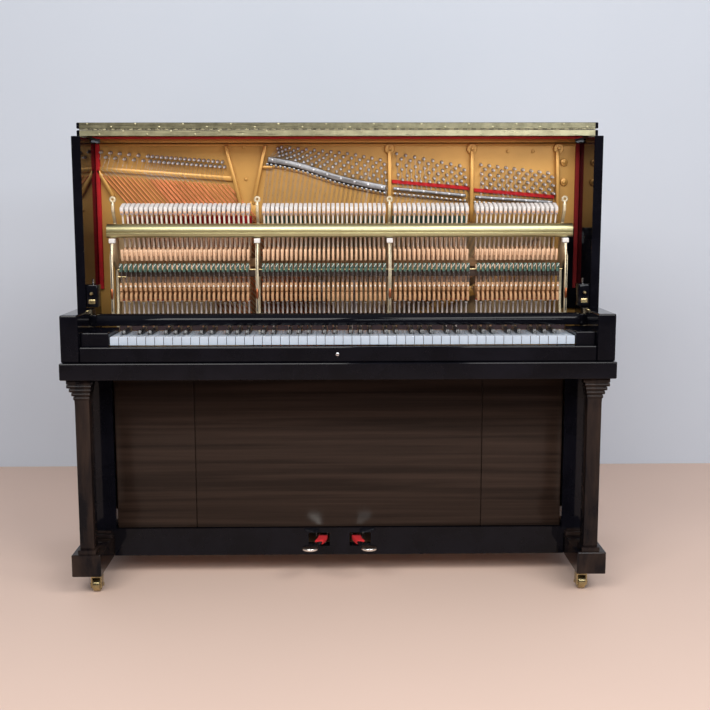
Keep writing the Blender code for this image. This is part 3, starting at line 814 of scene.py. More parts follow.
def flat(outline, half, finish, edge):
    """A part cut to an outline of (y, z) and as wide as twice the half."""
    return Shape(finish).along_x(outline, -half, half, 0, edge)


def leaned(u, w):
    """A point of a hammer at rest, relative to its pivot."""
    return (u * math.cos(LEAN) - w * math.sin(LEAN), u * math.sin(LEAN) + w * math.cos(LEAN))


def build_hammers():
    """Head, shank, butt and catcher of each hammer; the heads get narrower towards the treble."""
    size = bpy.context.scene.piano_action
    head, stick = size.felt_width / 2, size.stick / 2
    spots = on_notes(PIVOT.y, PIVOT.z)
    widths = [1 - size.felt_taper * note / (NOTES - 1) for note in range(NOTES)]
    loose, loose_width = spots.pop(BASS_NOTES), widths.pop(BASS_NOTES)
    for name, outline, half, finish, edge, slot, *nodes in (
        ("hammer_felts", HAMMER_FELT, head, "white", 0.0012, "white_felt", "s_bass", "s_tenor", "s_treble"),
        ("hammer_underfelts", UNDERFELT, head * 0.98, "under", 0.001, "white_felt"),
        ("hammer_mouldings", MOULDING, head * 0.82, "maple", 0.0005, "maple"),
        ("hammer_shanks", SHANK, size.shank, "birch", None, "maple"),
        ("hammer_butts", BUTT, stick, "maple", 0.0008, "maple"),
        ("catcher_shanks", CATCHER_SHANK, 0.0019, "maple", None, "maple"),
        ("catchers", CATCHER, stick, "maple", 0.0008, "maple"),
        ("catcher_skins", CATCHER_SKIN, stick, "buckskin", 0.0005, "white_felt"),
    ):
        turned = [leaned(*p) for p in outline]
        for body, places, wide, stands_for in (
            ("hammer_rail", spots, widths, nodes),
            ("hammer_c3", [loose], [loose_width], nodes and ["_c3"]),
        ):
            if edge is None:
                made = Shape(finish).tube([(0, *p) for p in turned], half, 10)
            else:
                made = flat(turned, half, finish, edge)
            replaced = ["hammer" + n for n in stands_for]
            repeat(f"{name}_{body}", made, places, body, slot, *replaced, widths=wide)


def build_wippens():
    """Lever, jack, back check, wires and spring of each wippen."""
    size = bpy.context.scene.piano_action
    places = note_places()
    half = size.stick / 2
    for body, nodes, row in (
        ("wippens_low", ["wippens_bass"], places[:BASS_NOTES]),
        ("wippen_c3", ["wippen_c3"], places[BASS_NOTES:BASS_NOTES + 1]),
        ("wippens_high", ["wippens_tenor", "wippens_treble"], places[BASS_NOTES + 1:]),
    ):
        for name, outline, width, finish, edge, slot in (
            ("wippen_levers_", LEVER, half, "maple_side", 0.0008, "maple"),
            ("wippen_heels_", HEEL, half, "red", 0.0003, "red_felt"),
            ("jacks_", JACK, half * 0.8, "maple", 0.0006, "maple"),
            ("check_backs_", CHECK, half * 1.3, "green", 0.0006, "green_felt"),
            ("check_felts_", CHECK_FELT, half * 1.15, "green", 0.0006, "green_felt"),
        ):
            made = flat(outline, width, finish, edge)
            replaced = nodes if outline is LEVER else []
            repeat(name + body, made, [(x, 0.0, 0.0) for x in row], body, slot, *replaced)
        for name, run, thick, finish in (
            ("check_wires_", CHECK_WIRE, 1.15, "steel"),
            ("bridle_wires_", BRIDLE_WIRE, 1, "steel"),
            ("bridle_tips_", BRIDLE_TIP, 1, "tape"),
        ):
            runs = [[(x + aside, y, z) for aside, y, z in run] for x in row]
            wires(name + body, runs, size.wire * thick, finish, body, "bright_metal")
        knot, spots = mm(1.2, 815.5, 2.4, 817.5, 2.4, 819.5, 1.2, 821.5), [(x, -0.0472, 0.0) for x in row]
        studs("bridle_knots_" + body, "tape", knot, 10, spots, UP, body, "white_felt")
        spring = [(0.03 + 0.002 * math.cos(t), 0.818 + 0.0011 * t) for t in steps(0, 18, 25)]
        springs = [[(x, y, z) for y, z in spring] for x in row]
        wires("jack_springs_" + body, springs, 0.0004, "brass", body, "hinge_brass", 5)


def build_dampers():
    """Lever, block and felt of each damper; the top notes have none."""
    row = on_notes()[:TOP_FIRST]
    for name, outline, half, finish, edge, places, slot, *nodes in (
        ("levers", DAMPER_LEVER, 0.0028, "maple", 0.0006, row, "maple", "dampers_bass"),
        ("blocks", DAMPER_BLOCK, 0.0046, "red", 0.001, row[:BASS_NOTES], "red_felt", "dampers_treble"),
        ("blocks_tenor", DAMPER_BLOCK, 0.0046, "green", 0.001, row[BASS_NOTES:], "green_felt"),
        ("backings", DAMPER_BACK, 0.0046, "red", 0.0, row, "red_felt"),
        ("felts", DAMPER_FELT, 0.0044, "white", 0.0008, row, "white_felt"),
    ):
        repeat("damper_" + name, flat(outline, half, finish, edge), places, "dampers", slot, *nodes)


def build_rails():
    """Hammer rail with its rest felt, the flange rail with its flanges, and the let-off rail."""
    low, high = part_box("hammer_rail")
    made = Shape("rail").along_x(RAIL, low.x, high.x, 0, 0.0005)
    made.piece("hammer_rail_moulded", "hammer_rail", "pale_gold", "hammer_rail")
    made = Shape("white").along_x(REST_FELT, low.x + 0.002, high.x - 0.002, 0, 0.0008)
    made.piece("rest_felt", "hammer_rail", "white_felt")
    made = Shape("beech").box(*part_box("action_rail"), 0, 0.0012)
    made.piece("flange_rail", "case", "frame_wood", "action_rail")
    repeat("flanges", flat(FLANGE, 0.0032, "maple", 0.0005), on_notes(), "case", "maple")
    studs("flange_screws", "steel", mm(2.4, 899, 2.4, 901.2, 1.6, 901.8), 10, on_notes(0.064), UP)
    letoff = Shape("dark", "brass").box((-0.618, -0.024, 0.844), (0.628, -0.012, 0.864), 0, 0.0012)
    for height, end in ((0.844, -0.598), (0.864, 0.634)):
        letoff.lathe([(0.0021, -0.624), (0.0021, end)], (0, -0.0265, height), ACROSS, 12, 1)
    letoff.piece("letoff_rail", "case", "frame_wood")


def build_brackets():
    """The castings that carry the action, and the rods in front of them."""
    rod_y = -0.047
    for number in range(1, 5):
        node = f"action_bracket_{number}"
        low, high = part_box(node)
        x = (low.x + high.x) / 2
        made = Shape("bracket", "white")
        made.along_x(BRACKET_NECK + BRACKET_POST + BRACKET_FOOT, low.x, high.x, 0, 0.0014)
        ring = [(0.0062 + u, v) for u, v in arc((0, 0), 0.0036, 0, 324, 10)]
        made.lathe(ring, (x, 0, high.z - 0.0085), BACKWARD, 24, 0, True)
        made.lathe(mm(6.2, 1044, 4, 1049, 3.4, 1053.5), (x, 0, 0))
        made.box((x - 0.0085, -0.03, 0.9385), (x + 0.0085, -0.0105, 0.9515), 1, 0.0016)
        made.piece(f"bracket_casting_{number}", "case", "bracket_metal", node)
        rod = Shape("steel", "copper").tube([(x, rod_y, 0.9375), (x, rod_y, 0.748)], 0.0013)
        rod.lathe(mm(1.6, 782, 3.6, 786, 4, 797, 3.6, 808, 1.6, 812), (x, rod_y, 0), finish=1)
        rod.piece(f"hook_rod_{number}", "case", "bright_metal")


# ---------------------------------------------------------------- case


def build_case():
    """Polished boards, lid rests, knee panel, plinths and corner blocks."""
    dress("polish", "side_left", "side_right", "arm_left", "arm_right", "key_block_left", "key_block_right")
    dress("polish", "key_slip", "key_bed", "lid_rear", "lid_front", "bottom_frame")
    dress("polish_tall", "toe_left", "toe_right")
    dress("beech", "bottom_board", "pin_block")
    edge = bpy.context.scene.piano_case.edge
    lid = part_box("lid_rear")
    rests = Shape("dark")
    for side in (-1, 1):
        left, right = span(side, 0.706, 0.7285)
        rests.box((left, lid[0].y + 0.001, 1.2322), (right, lid[1].y - 0.002, lid[0].z - 0.0002))
    rests.piece("lid_rests", "case", "black_polish")
    low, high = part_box("bottom_panel")
    made = Shape("panel", "dark")
    joints = (low.x, -0.405, 0.402, high.x)
    half_line = 0.0011
    for left, right in zip(joints, joints[1:]):
        left += half_line if left > low.x else 0
        right -= half_line if right < high.x else 0
        made.box((left, low.y, low.z), (right, low.y + 0.009, high.z), 0, edge)
    made.box((low.x + 0.002, low.y + 0.0092, low.z + 0.002), (high.x - 0.002, high.y, high.z - 0.002), 1)
    made.piece("knee_panel_boards", "knee_panel", "black_polish", "bottom_panel")
    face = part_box("bottom_frame")[0].y
    for name, side in SIDES:
        build_leg(name, side)
        plinth = Shape("polish_wide")
        plinth.block((side * 0.668, face - 0.015, 0.123), (0.058, 0.029, 0.0105), 0, edge)
        plinth.block((side * 0.668, face - 0.007, 0.1305), (0.046, 0.013, 0.004), 0, edge / 2)
        plinth.piece("plinth_" + name, "case", "black_polish")
        left, right = span(side, 0.672, 0.7035)
        x = side * 0.688
        block = Shape("polish", "brass", "steel")
        block.box((left, -0.076, 0.762), (right, -0.03, 0.825), 0, 0.003)
        block.lathe(mm(4.2, 0, 4.2, 8, 3, 9.5), (x, -0.0762, 0.801), FORWARD, 16, 1)
        block.lathe(mm(3, 0, 3, 14, 1.8, 15), (x, -0.053, 0.8252), UP, 14, 2)
        block.block((x, -0.0772, 0.778), (0.018, 0.002, 0.012), 1, 0.0006)
        block.piece("corner_block_" + name, "case", "black_polish")
    build_casters()


def build_leg(name, side):
    """A square column with a fluted scroll under the key bed."""
    low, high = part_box("leg_" + name)
    flute = bpy.context.scene.piano_case.flute
    inside, outside, taper = 0.6575, 0.695, 0.32
    flutes = 4
    top = high.z - 0.0125
    neck = top - 5.2 * flute
    reaches = [0.0205 * (1 - i / flutes) ** 1.35 for i in range(flutes)]
    outer = []
    for i, reach in enumerate(reaches):
        for angle in map(math.radians, steps(80, -62, 7)):
            x = outside + reach - 0.0045 * (1 - math.cos(angle))
            outer.append((x, top - (i + 1) * flute + flute / 2 * (1 + math.sin(angle))))
    inner = [(inside - (x - outside) * taper, z) for x, z in reversed(outer)]
    outline = [(0.716, high.z), (0.716, top + 0.001), *outer, (outside, neck), (outside, low.z)]
    outline += [(inside, low.z), (inside, neck), *inner, (0.646, top + 0.001), (0.646, high.z)]
    made = Shape("polish_tall")
    made.along_y([(side * x, z) for x, z in outline], low.y + 0.0032, high.y, 0, 0.0008)
    for i, reach in enumerate(reaches):
        middle = top - (i + 0.5) * flute
        bend = arc((0, 0), 1, -90, 90, 7)
        roll = [(low.y + 0.0045 * (1 - v), middle + 0.44 * flute * u) for v, u in bend]
        back = low.y + 0.005
        ends = span(side, inside - 0.001 - reach * taper, outside - 0.0005 + reach)
        made.along_x([(back, roll[-1][1]), (back, roll[0][1]), *roll], *ends)
    made.block((side * 0.6762, (low.y + high.y) / 2, low.z + 0.0065), (0.048, 0.056, 0.012), 0, 0.0012)
    made.piece("leg_turned_" + name, "case", "black_polish", "leg_" + name)


def build_casters():
    """Round wheels on their axles, and the collars of the forks."""
    corners = [f"{end}_{side}" for end in ("front", "rear") for side in ("left", "right")]
    dress("caster", *["caster_fork_" + corner for corner in corners])
    for corner in corners:
        node = "caster_wheel_" + corner
        low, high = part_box(node)
        middle, half, radius = (low + high) / 2, (high.x - low.x) / 2, (high.z - low.z) / 2
        rim = [(radius - 0.0018, -half), (radius - 0.0004, -half + 0.0012), (radius, -half + 0.003)]
        rim += [(r, -w) for r, w in reversed(rim)]
        made = Shape("caster", "steel").lathe(rim, middle, ACROSS, 40)
        made.lathe([(0.0036, -half - 0.0006), (0.0036, half + 0.0006)], middle, ACROSS, 16, 1)
        made.piece("wheel_rounded_" + corner, node, "caster_brass", node)
        collar = Shape("caster").lathe(mm(10.5, 45.5, 12.5, 47.5, 9, 48.8), (middle.x, middle.y, 0))
        for end, side in zip(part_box("caster_fork_" + corner), (-1, 1)):
            collar.block((end.x + side * 0.0007, middle.y, middle.z), (0.0014, 0.008, 0.008), 0, 0.0004)
        collar.piece("collar_" + corner, "caster_fork_" + corner, "caster_brass")


def build_hinge():
    """Both leaves of the full-length lid hinge, with alternate knuckles and screws."""
    count = 2 * bpy.context.scene.piano_case.knuckles
    low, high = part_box("hinge_leaf_front")
    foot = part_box("hinge_leaf_rear")[0].z
    axis_y, axis_z, clear = -0.0075, 1.2545, 0.0024
    pitch = (high.x - low.x) / count
    half = pitch / 2
    inner, outer = 0.00165, 0.0019
    ring = [(inner, 0.0003 - half), (outer, 0.0007 - half), (outer, half - 0.0007), (inner, half - 0.0003)]
    # The front leaf and its knuckles take the darker brass, which is painted shade; the rear leaf takes the
    # plain hinge brass.
    for odd, name, body, bottom, top, finish in (
        (0, "front", "lid_flap", axis_z + clear, high.z, "hinge_painted_shade"),
        (1, "rear", "case", foot, axis_z - clear, "hinge"),
    ):
        made = Shape(finish).box((low.x, low.y, bottom), (high.x, high.y, top), 0, 0.0003, 1)
        made.piece("hinge_plate_" + name, body, "hinge_brass", "hinge_leaf_" + name)
        places = [(low.x + pitch * (i + 0.5), axis_y, axis_z) for i in range(odd, count, 2)]
        studs("hinge_knuckles_" + name, finish, ring, 14, places, ACROSS, body, "hinge_brass")
        end = 0.7 - 0.033 * odd
        spots = [
            (x, low.y, (bottom + top) / 2 + (0.004, -0.004)[(i + odd) % 2])
            for i, x in enumerate(steps(-end, end, 22 - odd))
        ]
        studs("hinge_screws_" + name, "hinge", mm(3, 0, 2.8, 0.4, 1.4, 0.7), 14, spots, FORWARD, body)


# Outlines in (x, y) of the right-hand pedal and its felt sleeve.
PEDAL_SHANK = mm(70, -158, 60, -125, 57.5, -105, 57.5, 88, 35.5, 88, 35.5, -100, 40, -122, 49, -152)
PEDAL_SHANK += mm(56, -178)
SLEEVE = mm(33.5, -98, 39, -126, 47, -150, 70, -152, 62.5, -126, 59.5, -98)


def build_pedals():
    """Cast pedals with their sleeves, axles, stands and springs."""
    dress("dowel", "pedal_rod_left", "pedal_rod_right")
    for name, side in SIDES:
        node = "pedal_" + name
        low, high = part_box(node)
        x, y, z = side * 0.0465, -0.03, 0.104
        outline = arc((0.0815, -0.203), 0.022, 176, 394, 20) + PEDAL_SHANK
        made = Shape("pedal", "red", "steel")
        made.along_z([(side * u, v) for u, v in outline], low.z + 0.0005, high.z, 0, 0.0026, 3)
        made.along_z([(side * u, v) for u, v in SLEEVE], low.z - 0.0022, high.z + 0.0022, 1, 0.0018)
        made.block((x, y, z), (0.03, 0.01, 0.0125), 2, 0.001)
        made.lathe(mm(3, -18, 3, 18), (x, y, z), ACROSS, 16, 2)
        made.piece("pedal_cast_" + name, node, "pedal_metal", node)
        for shift in (-0.0215, 0.0215):
            stand = Shape("steel").block((x + shift, y, 0.0935), (0.005, 0.016, 0.03), 0, 0.001)
            place = "in" if shift * side < 0 else "out"
            stand.piece(f"pedal_stand_{name}_{place}", "case", "bright_metal")
        turns = 44
        coil = [
            (x + 0.0085 * math.cos(t), 0.05 + 0.0085 * math.sin(t), 0.0785 + 0.02 * t / turns)
            for t in steps(0, turns, 120)
        ]
        wires("pedal_spring_" + name, [coil], 0.0009, "steel", "case", "bright_metal")


# ---------------------------------------------------------------- plate, pins and strings

# Points in (x, z), except where a table says otherwise.
STRIKE_Z = 1.035  # where the hammers meet the strings
BASS_BAR = mm(-702, 1149, -307.5, 1121)
BASS_BAR_Z = 1.135
TENOR_BAR = mm(-205, 1176, -192, 1174, -140, 1165, -97, 1154, -53.5, 1139.5, -10, 1125, 34, 1113.6)
TENOR_BAR += mm(77, 1105, 138, 1093)
TREBLE_BAR = mm(159, 1092, 372, 1071)
TOP_BAR = mm(398.5, 1067, 627, 1051)
BASS_PINS = mm(-690, 1198.5, -586, 1189, -330, 1169)
# For each section: the note after its last, its pressure bar, a table of (hammer x, pin x), and the
# lowest and the highest row of its tuning pins.
SECTIONS = (
    (TREBLE_FIRST, TENOR_BAR, mm(-211.5, -173, 129.2, 136.5),
     mm(-173, 1187, -53, 1156, 34, 1130, 137, 1116), mm(-173, 1213, -53, 1202, 34, 1193, 137, 1173)),
    (TOP_FIRST, TREBLE_BAR, mm(160.4, 172, 365.1, 370), mm(172, 1119, 370, 1104), mm(172, 1193, 370, 1156)),
    (NOTES, TOP_BAR, mm(394.9, 418, 619.1, 627), mm(418, 1096, 627, 1078), mm(418, 1161.5, 627, 1136)),
)
PLATE_FACE = 0.1098  # y of the plate's front
PIN_Y = 0.1035


def section_of(note):
    return next(section for section in SECTIONS if note < section[0])


def along(table, x):
    """Straight-line value of a table of (x, value)."""
    for (a, low), (b, high) in zip(table, table[1:]):
        if x <= b or (b, high) == table[-1]:
            return low + (high - low) * (x - a) / (b - a)


def on_bridge(start, end, bow, t):
    run = Vector(end) - Vector(start)
    across = Vector((-run.y, run.x)).normalized()
    return Vector(start) + run * t + across * bow * math.sin(math.pi * t)


def treble_bridge(t, aside=0.0):
    x, z = on_bridge((0.6, 0.93), (-0.5, 0.3), -0.06, t)
    return x + 0.497 * aside, z - 0.868 * aside


def bass_bridge(t):
    return tuple(on_bridge((0.02, 0.3), (0.42, 0.24), 0.012, t))


def strip(points, width):
    """(x, z) outline of a band of even width along points."""
    points = [Vector(p) for p in points]
    sides = ([], [])
    for i, point in enumerate(points):
        run = (points[min(i + 1, len(points) - 1)] - points[max(i - 1, 0)]).normalized()
        aside = Vector((-run.y, run.x)) * width / 2
        sides[0].append(tuple(point + aside))
        sides[1].append(tuple(point - aside))
    return sides[0] + list(reversed(sides[1]))


def bass_strings(note, strike):
    """(pin, bearing, bridge, tail) of each wound string of a note."""
    share = note / (BASS_NOTES - 1)
    several = 1 if note < 10 else 2
    end_x, end_z = bass_bridge(0.03 + 0.94 * share)
    slant = (end_x - strike) / (STRIKE_Z - end_z)
    bar_x = strike - slant * (BASS_BAR_Z - STRIKE_Z)
    for k in range(several):
        off = 0.004 * (k - (several - 1) / 2)
        row = (note + k) % 2 if several == 1 else k
        pin_x = -0.684 + 0.35 * (share + (k - 0.5) * 0.018)
        yield (
            (pin_x, PIN_Y, along(BASS_PINS, pin_x) - 0.014 * row),
            (bar_x + off, 0.0972, along(BASS_BAR, bar_x)),
            (end_x + off, 0.0895, end_z),
            (end_x + off + slant * 0.055, 0.101, end_z - 0.055),
        )


def plain_strings(note, strike):
    """(pin, bearing, bridge, tail) of each of the three plain strings of a note."""
    t = 0.8 - 0.78 * (note - BASS_NOTES) / (NOTES - 1 - BASS_NOTES)
    (end_x, end_z), (tail_x, tail_z) = treble_bridge(t), treble_bridge(t, 0.046)
    _, bar, spread, lows, highs = section_of(note)
    pin_x = along(spread, strike)
    low, high = along(lows, pin_x), along(highs, pin_x)
    bar_x = strike + (strike - end_x) / (STRIKE_Z - end_z) * 0.06
    for k in range(3):
        off = 0.0024 * (k - 1)
        level = (2 - k) / 2.45 + (0.0 if note % 2 else 0.18)
        yield (
            (pin_x + 0.0023 * (k - 1), PIN_Y, low + (high - low) * level),
            (bar_x + off, 0.1002, along(bar, bar_x)),
            (end_x + off, 0.1002, end_z),
            (tail_x + off, 0.104, tail_z),
        )


def pin_coil(pin, radius, front, pace):
    """Three turns of a string round its tuning pin."""
    return [
        (pin[0] + radius * math.cos(a), front - 0.0006 * a / pace, pin[2] + radius * math.sin(a))
        for a in steps(0, 3 * math.tau, 25)
    ]


def build_strings():
    """Plain and wound strings, tuning pins with their coils, and hitch pins."""
    size = bpy.context.scene.piano_strings
    bass, plain = [], []
    for note, strike in enumerate(note_places()):
        if note < BASS_NOTES:
            bass += [(note // 7, run) for run in bass_strings(note, strike)]
        else:
            plain += plain_strings(note, strike)
    cores = [run for _, run in bass]
    wires("plain_strings", plain, size.steel, "string", "case", "string_steel", 5)
    wires("bass_cores", cores, size.steel, "string", "case", "string_steel", 5)
    gauges = 4
    for gauge, radius in enumerate(steps(size.thickest, size.thinnest, gauges)):
        ends = [(Vector(run[1]), Vector(run[2])) for group, run in bass if group == gauge]
        wound = [[bar.lerp(end, share) for share in (0.022, 0.5, 0.975)] for bar, end in ends]
        wires(f"wound_strings_{gauge + 1}", wound, radius, "copper", "case", "string_copper", 8)
    reach, wide = size.pin_reach, size.pin
    profile = [(wide, 0.0), (wide, reach - 0.009), (wide * 0.86, reach - 0.008)]
    profile += [(wide * 0.8, reach - 0.001), (wide * 0.55, reach)]
    pins = [(x, 0.1097, z) for (x, _, z), *_ in cores + plain]
    # The pins wear the lighter pin steel, which is partly a painted highlight.
    studs("tuning_pins", "pin", profile, 8, pins, (0, -1, -0.09))
    coils = [pin_coil(run[0], 0.0042, 0.1075, 3.1) for run in plain]
    wires("pin_coils", coils, 0.0006, "string", "case", "string_steel", 5)
    coils = [pin_coil(run[0], 0.0044, 0.107, 2.6) for run in cores]
    wires("bass_pin_coils", coils, 0.0008, "string", "case", "string_steel", 5)
    tails = [(x, 0.112, z) for *_, (x, _, z) in cores + plain]
    studs("hitch_pins", "steel", mm(1.6, 0, 1.6, 11, 1, 11.8), 8, tails)


# (points, width, front, rounded edge) of each rib that stands on the plate.
RIBS = (
    (BASS_BAR, 0.015, 0.0985, 0.004),
    (mm(-700, 1147, -656, 1070), 0.011, 0.096, 0.0025),
    (mm(-327, 1215, -283.5, 1040), 0.01, 0.09, 0.0025),
    (mm(-212, 1215, -249, 1048), 0.01, 0.09, 0.0025),
    (mm(-250, 1055, -250, 995), 0.02, 0.0985, 0.0025),
    (mm(-223.5, 1154, -191, 1154), 0.008, 0.096, 0.0025),
    (mm(149, 1200, 149, 995), 0.0105, 0.088, 0.0025),
    (mm(389, 1200, 389, 995), 0.0105, 0.088, 0.0025),
    (mm(637.5, 1200, 643.4, 995), 0.011, 0.088, 0.0025),
    (mm(-700, 1218.5, 700, 1218.5), 0.006, 0.104, 0.0015),
    ([(x, z - 0.0165) for x, z in TENOR_BAR[1:]], 0.008, 0.102, 0.002),
    ([(x, z - 0.015) for x, z in TREBLE_BAR], 0.007, 0.102, 0.002),
    ([(x, z - 0.015) for x, z in TOP_BAR], 0.007, 0.102, 0.002),
)
BOSSES = mm(149, 1206, 389, 1206, 642, 1206)
STUDS = mm(660, 1167, 661, 1110)
PLATE_BOLTS = mm(494, 1199, 568, 1199), mm(-275, 1212, -480, 1160, -660, 1030, -270, 1120)


def build_plate():
    """Cast ribs, bolts, pressure bars, felts, agraffes and bridge caps."""
    dress("lacquer", "iron_plate")
    dress("spruce", "soundboard")
    dress("maple_side", "treble_bridge", "bass_bridge")
    ribs = Shape("lacquer")
    for points, width, front, edge in RIBS:
        ribs.along_y(strip(points, width), front, PLATE_FACE, 0, edge)
    for x, z in BOSSES:
        ribs.lathe(mm(15, 0, 15, 12, 13.5, 13.6), (x, PLATE_FACE, z), FORWARD, 24)
    for x, z in STUDS:
        ribs.lathe(mm(12, 0, 10, 6, 8, 6.8), (x, PLATE_FACE, z), FORWARD, 20)
    edge_line = [treble_bridge(t, 0.052) for t in steps(-0.035, 1.05, 24)]
    ribs.along_y(strip(edge_line, 0.03), 0.105, 0.118, 0, 0.003)
    ribs.box((-0.69, 0.0975, 1.224), (0.69, 0.1215, 1.235), 0, 0.002)
    ribs.piece("plate_ribs", "case", "gold_lacquer")
    beads = [(x, 0.0975, 1.2285) for x in steps(-0.67, 0.67, 34)]
    studs("bead_screws", "lacquer", mm(2.4, 0, 2.2, 0.8, 0.8, 1.4), 10, beads)
    levels = ((0.096, BOSSES), (PLATE_FACE, PLATE_BOLTS[0]), (0.1028, STUDS), (PLATE_FACE, PLATE_BOLTS[1]))
    heads = [(x, y, z) for y, spots in levels for x, z in spots]
    heads += [(x, PLATE_FACE, 0.17) for x in steps(-0.66, 0.66, 9)]
    studs("plate_bolts", "lacquer", mm(5.2, 0, 5.2, 2.2, 3.8, 3.4, 1.2, 3.8), 16, heads)
    build_pressure_bars()
    felts = Shape("red", "red_painted_shade")
    for points in (mm(156, 1112.5, 374.7, 1093, 383.5, 1090.5), mm(396, 1087.5, 633, 1067)):
        felts.along_y(strip(points, 0.0105), 0.1005, 0.1095, 0, 0.0015)
    # The right-hand strip takes the darker red felt, which is painted shade on the side away from the key
    # light.
    for side in (-1, 1):
        left, right = span(side, 0.6925, 0.704)
        felts.box((left, 0.096, 0.8), (right, 0.1095, 1.221), 1 if side > 0 else 0, 0.002)
    lid_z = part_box("lid_rear")[0].z
    felts.box((-0.695, 0.03, lid_z - 0.0012), (0.695, 0.0972, lid_z - 0.0002))
    felts.piece("plate_felts", "case", "red_felt")
    cloth = Shape("ebony")
    cloth.along_y(strip([(x, z - 0.011) for x, z in TENOR_BAR], 0.0045), 0.099, 0.1095, 0, 0.0008)
    cloth.piece("bearing_cloth", "case", "black_polish")
    agraffes = Shape("string").box((-0.003, -0.006, -0.0035), (0.003, 0.008, 0.0035), 0, 0.001)
    spots = [
        (x + 0.005, 0.1012, along(section_of(note)[1], x) - 0.0155)
        for note, x in enumerate(note_places()) if note >= BASS_NOTES
    ]
    repeat("agraffes", agraffes, spots, "case", "hinge_brass")
    caps = Shape("maple_side")
    caps.along_y(strip([treble_bridge(t) for t in steps(0, 1, 25)], 0.03), 0.1012, 0.1114, 0, 0.002)
    caps.along_y(strip([bass_bridge(t) for t in steps(0, 1, 13)], 0.03), 0.092, 0.1114, 0, 0.002)
    caps.piece("bridge_caps", "case", "maple")
    cover = Shape("polish").box((0.656, 0.1, 0.74), (0.7035, 0.1095, 0.978), 0, 0.002)
    cover.piece("end_cover", "case", "black_polish")


def build_pressure_bars():
    """The bars that press the plain strings down, and their screws."""
    front = 0.089
    bars = Shape("bar")
    spots = []
    for bar, width, count in ((TENOR_BAR, 0.017, 9), (TREBLE_BAR, 0.01, 6), (TOP_BAR, 0.01, 7)):
        bars.along_y(strip(bar, width), front, 0.0985, 0, 0.003, 3)
        row = steps(bar[0][0] + 0.014, bar[-1][0] - 0.012, count)
        spots += [(x, front, along(bar, x)) for x in row]
    bars.piece("pressure_bars", "case", "bright_metal")
    studs("bar_screws", "pin", mm(3.6, 0, 3.6, 0.8, 2.6, 2.2, 1, 2.6), 12, spots)


def build_back():
    """Posts, beams, soundboard ribs and the bolts of the back."""
    dress("post", "back_frame")
    low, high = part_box("soundboard")
    made = Shape("spruce")
    for x in steps(-0.61, 0.61, 9):
        rib = strip([(x - 0.05, low.z + 0.02), (x + 0.05, high.z - 0.02)], 0.02)
        made.along_y(rib, high.y + 0.0003, 0.1785, 0, 0.003)
    made.piece("soundboard_ribs", "case", "spruce")
    low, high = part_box("back_frame")
    liners = Shape("beam")
    for bottom, top in ((1.12, high.z), (low.z, 0.205)):
        liners.box((low.x, high.y + 0.0003, bottom), (high.x, 0.2985, top), 0, 0.001)
    liners.piece("back_liners", "case", "frame_wood")
    spots = [(x, 0.2965, z) for x in steps(-0.67, 0.67, 5) for z in (0.145, 0.18, 1.145, 1.195)]
    studs("back_bolts", "pin", mm(9, 0, 9, 1.2, 6, 2), 16, spots, BACKWARD)


# ---------------------------------------------------------------- stage

ROOM = 0.6  # strength of the room's even light
FRONT_OF_ROOM = 0.008  # what polished faces see of it ahead
CAMERA_PLACE = (0.00356, -3.04275, 1.03964)
CAMERA_TURN, CAMERA_DROP, CAMERA_ROLL = -0.8007, 7.9424, -0.0908  # degrees
# Name, place, aim, size and colour of each soft lamp.
LAMPS = (
    ("key_light", (-1.2, -3.5, 3.2), (0, 0, 0.8), (2.6, 1.6), (1.0, 0.985, 0.96)),
    ("fill_light", (1.45, -3.6, 1.98), (0.3, 0, 1.1), (2.6, 0.5), (0.93, 0.96, 1.0)),
    ("top_light", (1.7, -2.5, 3.1), (0.1, 0, 0.9), (2.4, 1.2), (1.0, 0.99, 0.97)),
)


def light_the_room(tint):
    """An even pale room for soft light; polished faces see it dark in front and bright overhead."""
    world = bpy.data.worlds.new("studio")
    bpy.context.scene.world = world
    world.use_nodes = True
    tree = world.node_tree
    ahead = grow(tree, "ShaderNodeTexCoord", "Generated")
    up = grow(tree, "ShaderNodeSeparateXYZ", "Z", Vector=ahead)
    height = grow(tree, "ShaderNodeMapRange", None, Value=up)
    limits = {"From Min": 0.05, "From Max": 0.75, "To Min": FRONT_OF_ROOM, "To Max": ROOM}
    for name, value in limits.items():
        height.inputs[name].default_value = value
    gloss = grow(tree, "ShaderNodeLightPath", "Is Glossy Ray")
    mix = grow(tree, "ShaderNodeMix", None, Factor=gloss, B=height.outputs["Result"])
    mix.inputs["A"].default_value = ROOM
    back = tree.nodes["Background"]
    back.inputs["Color"].default_value = (*tint, 1)
    tree.links.new(mix.outputs["Result"], back.inputs["Strength"])


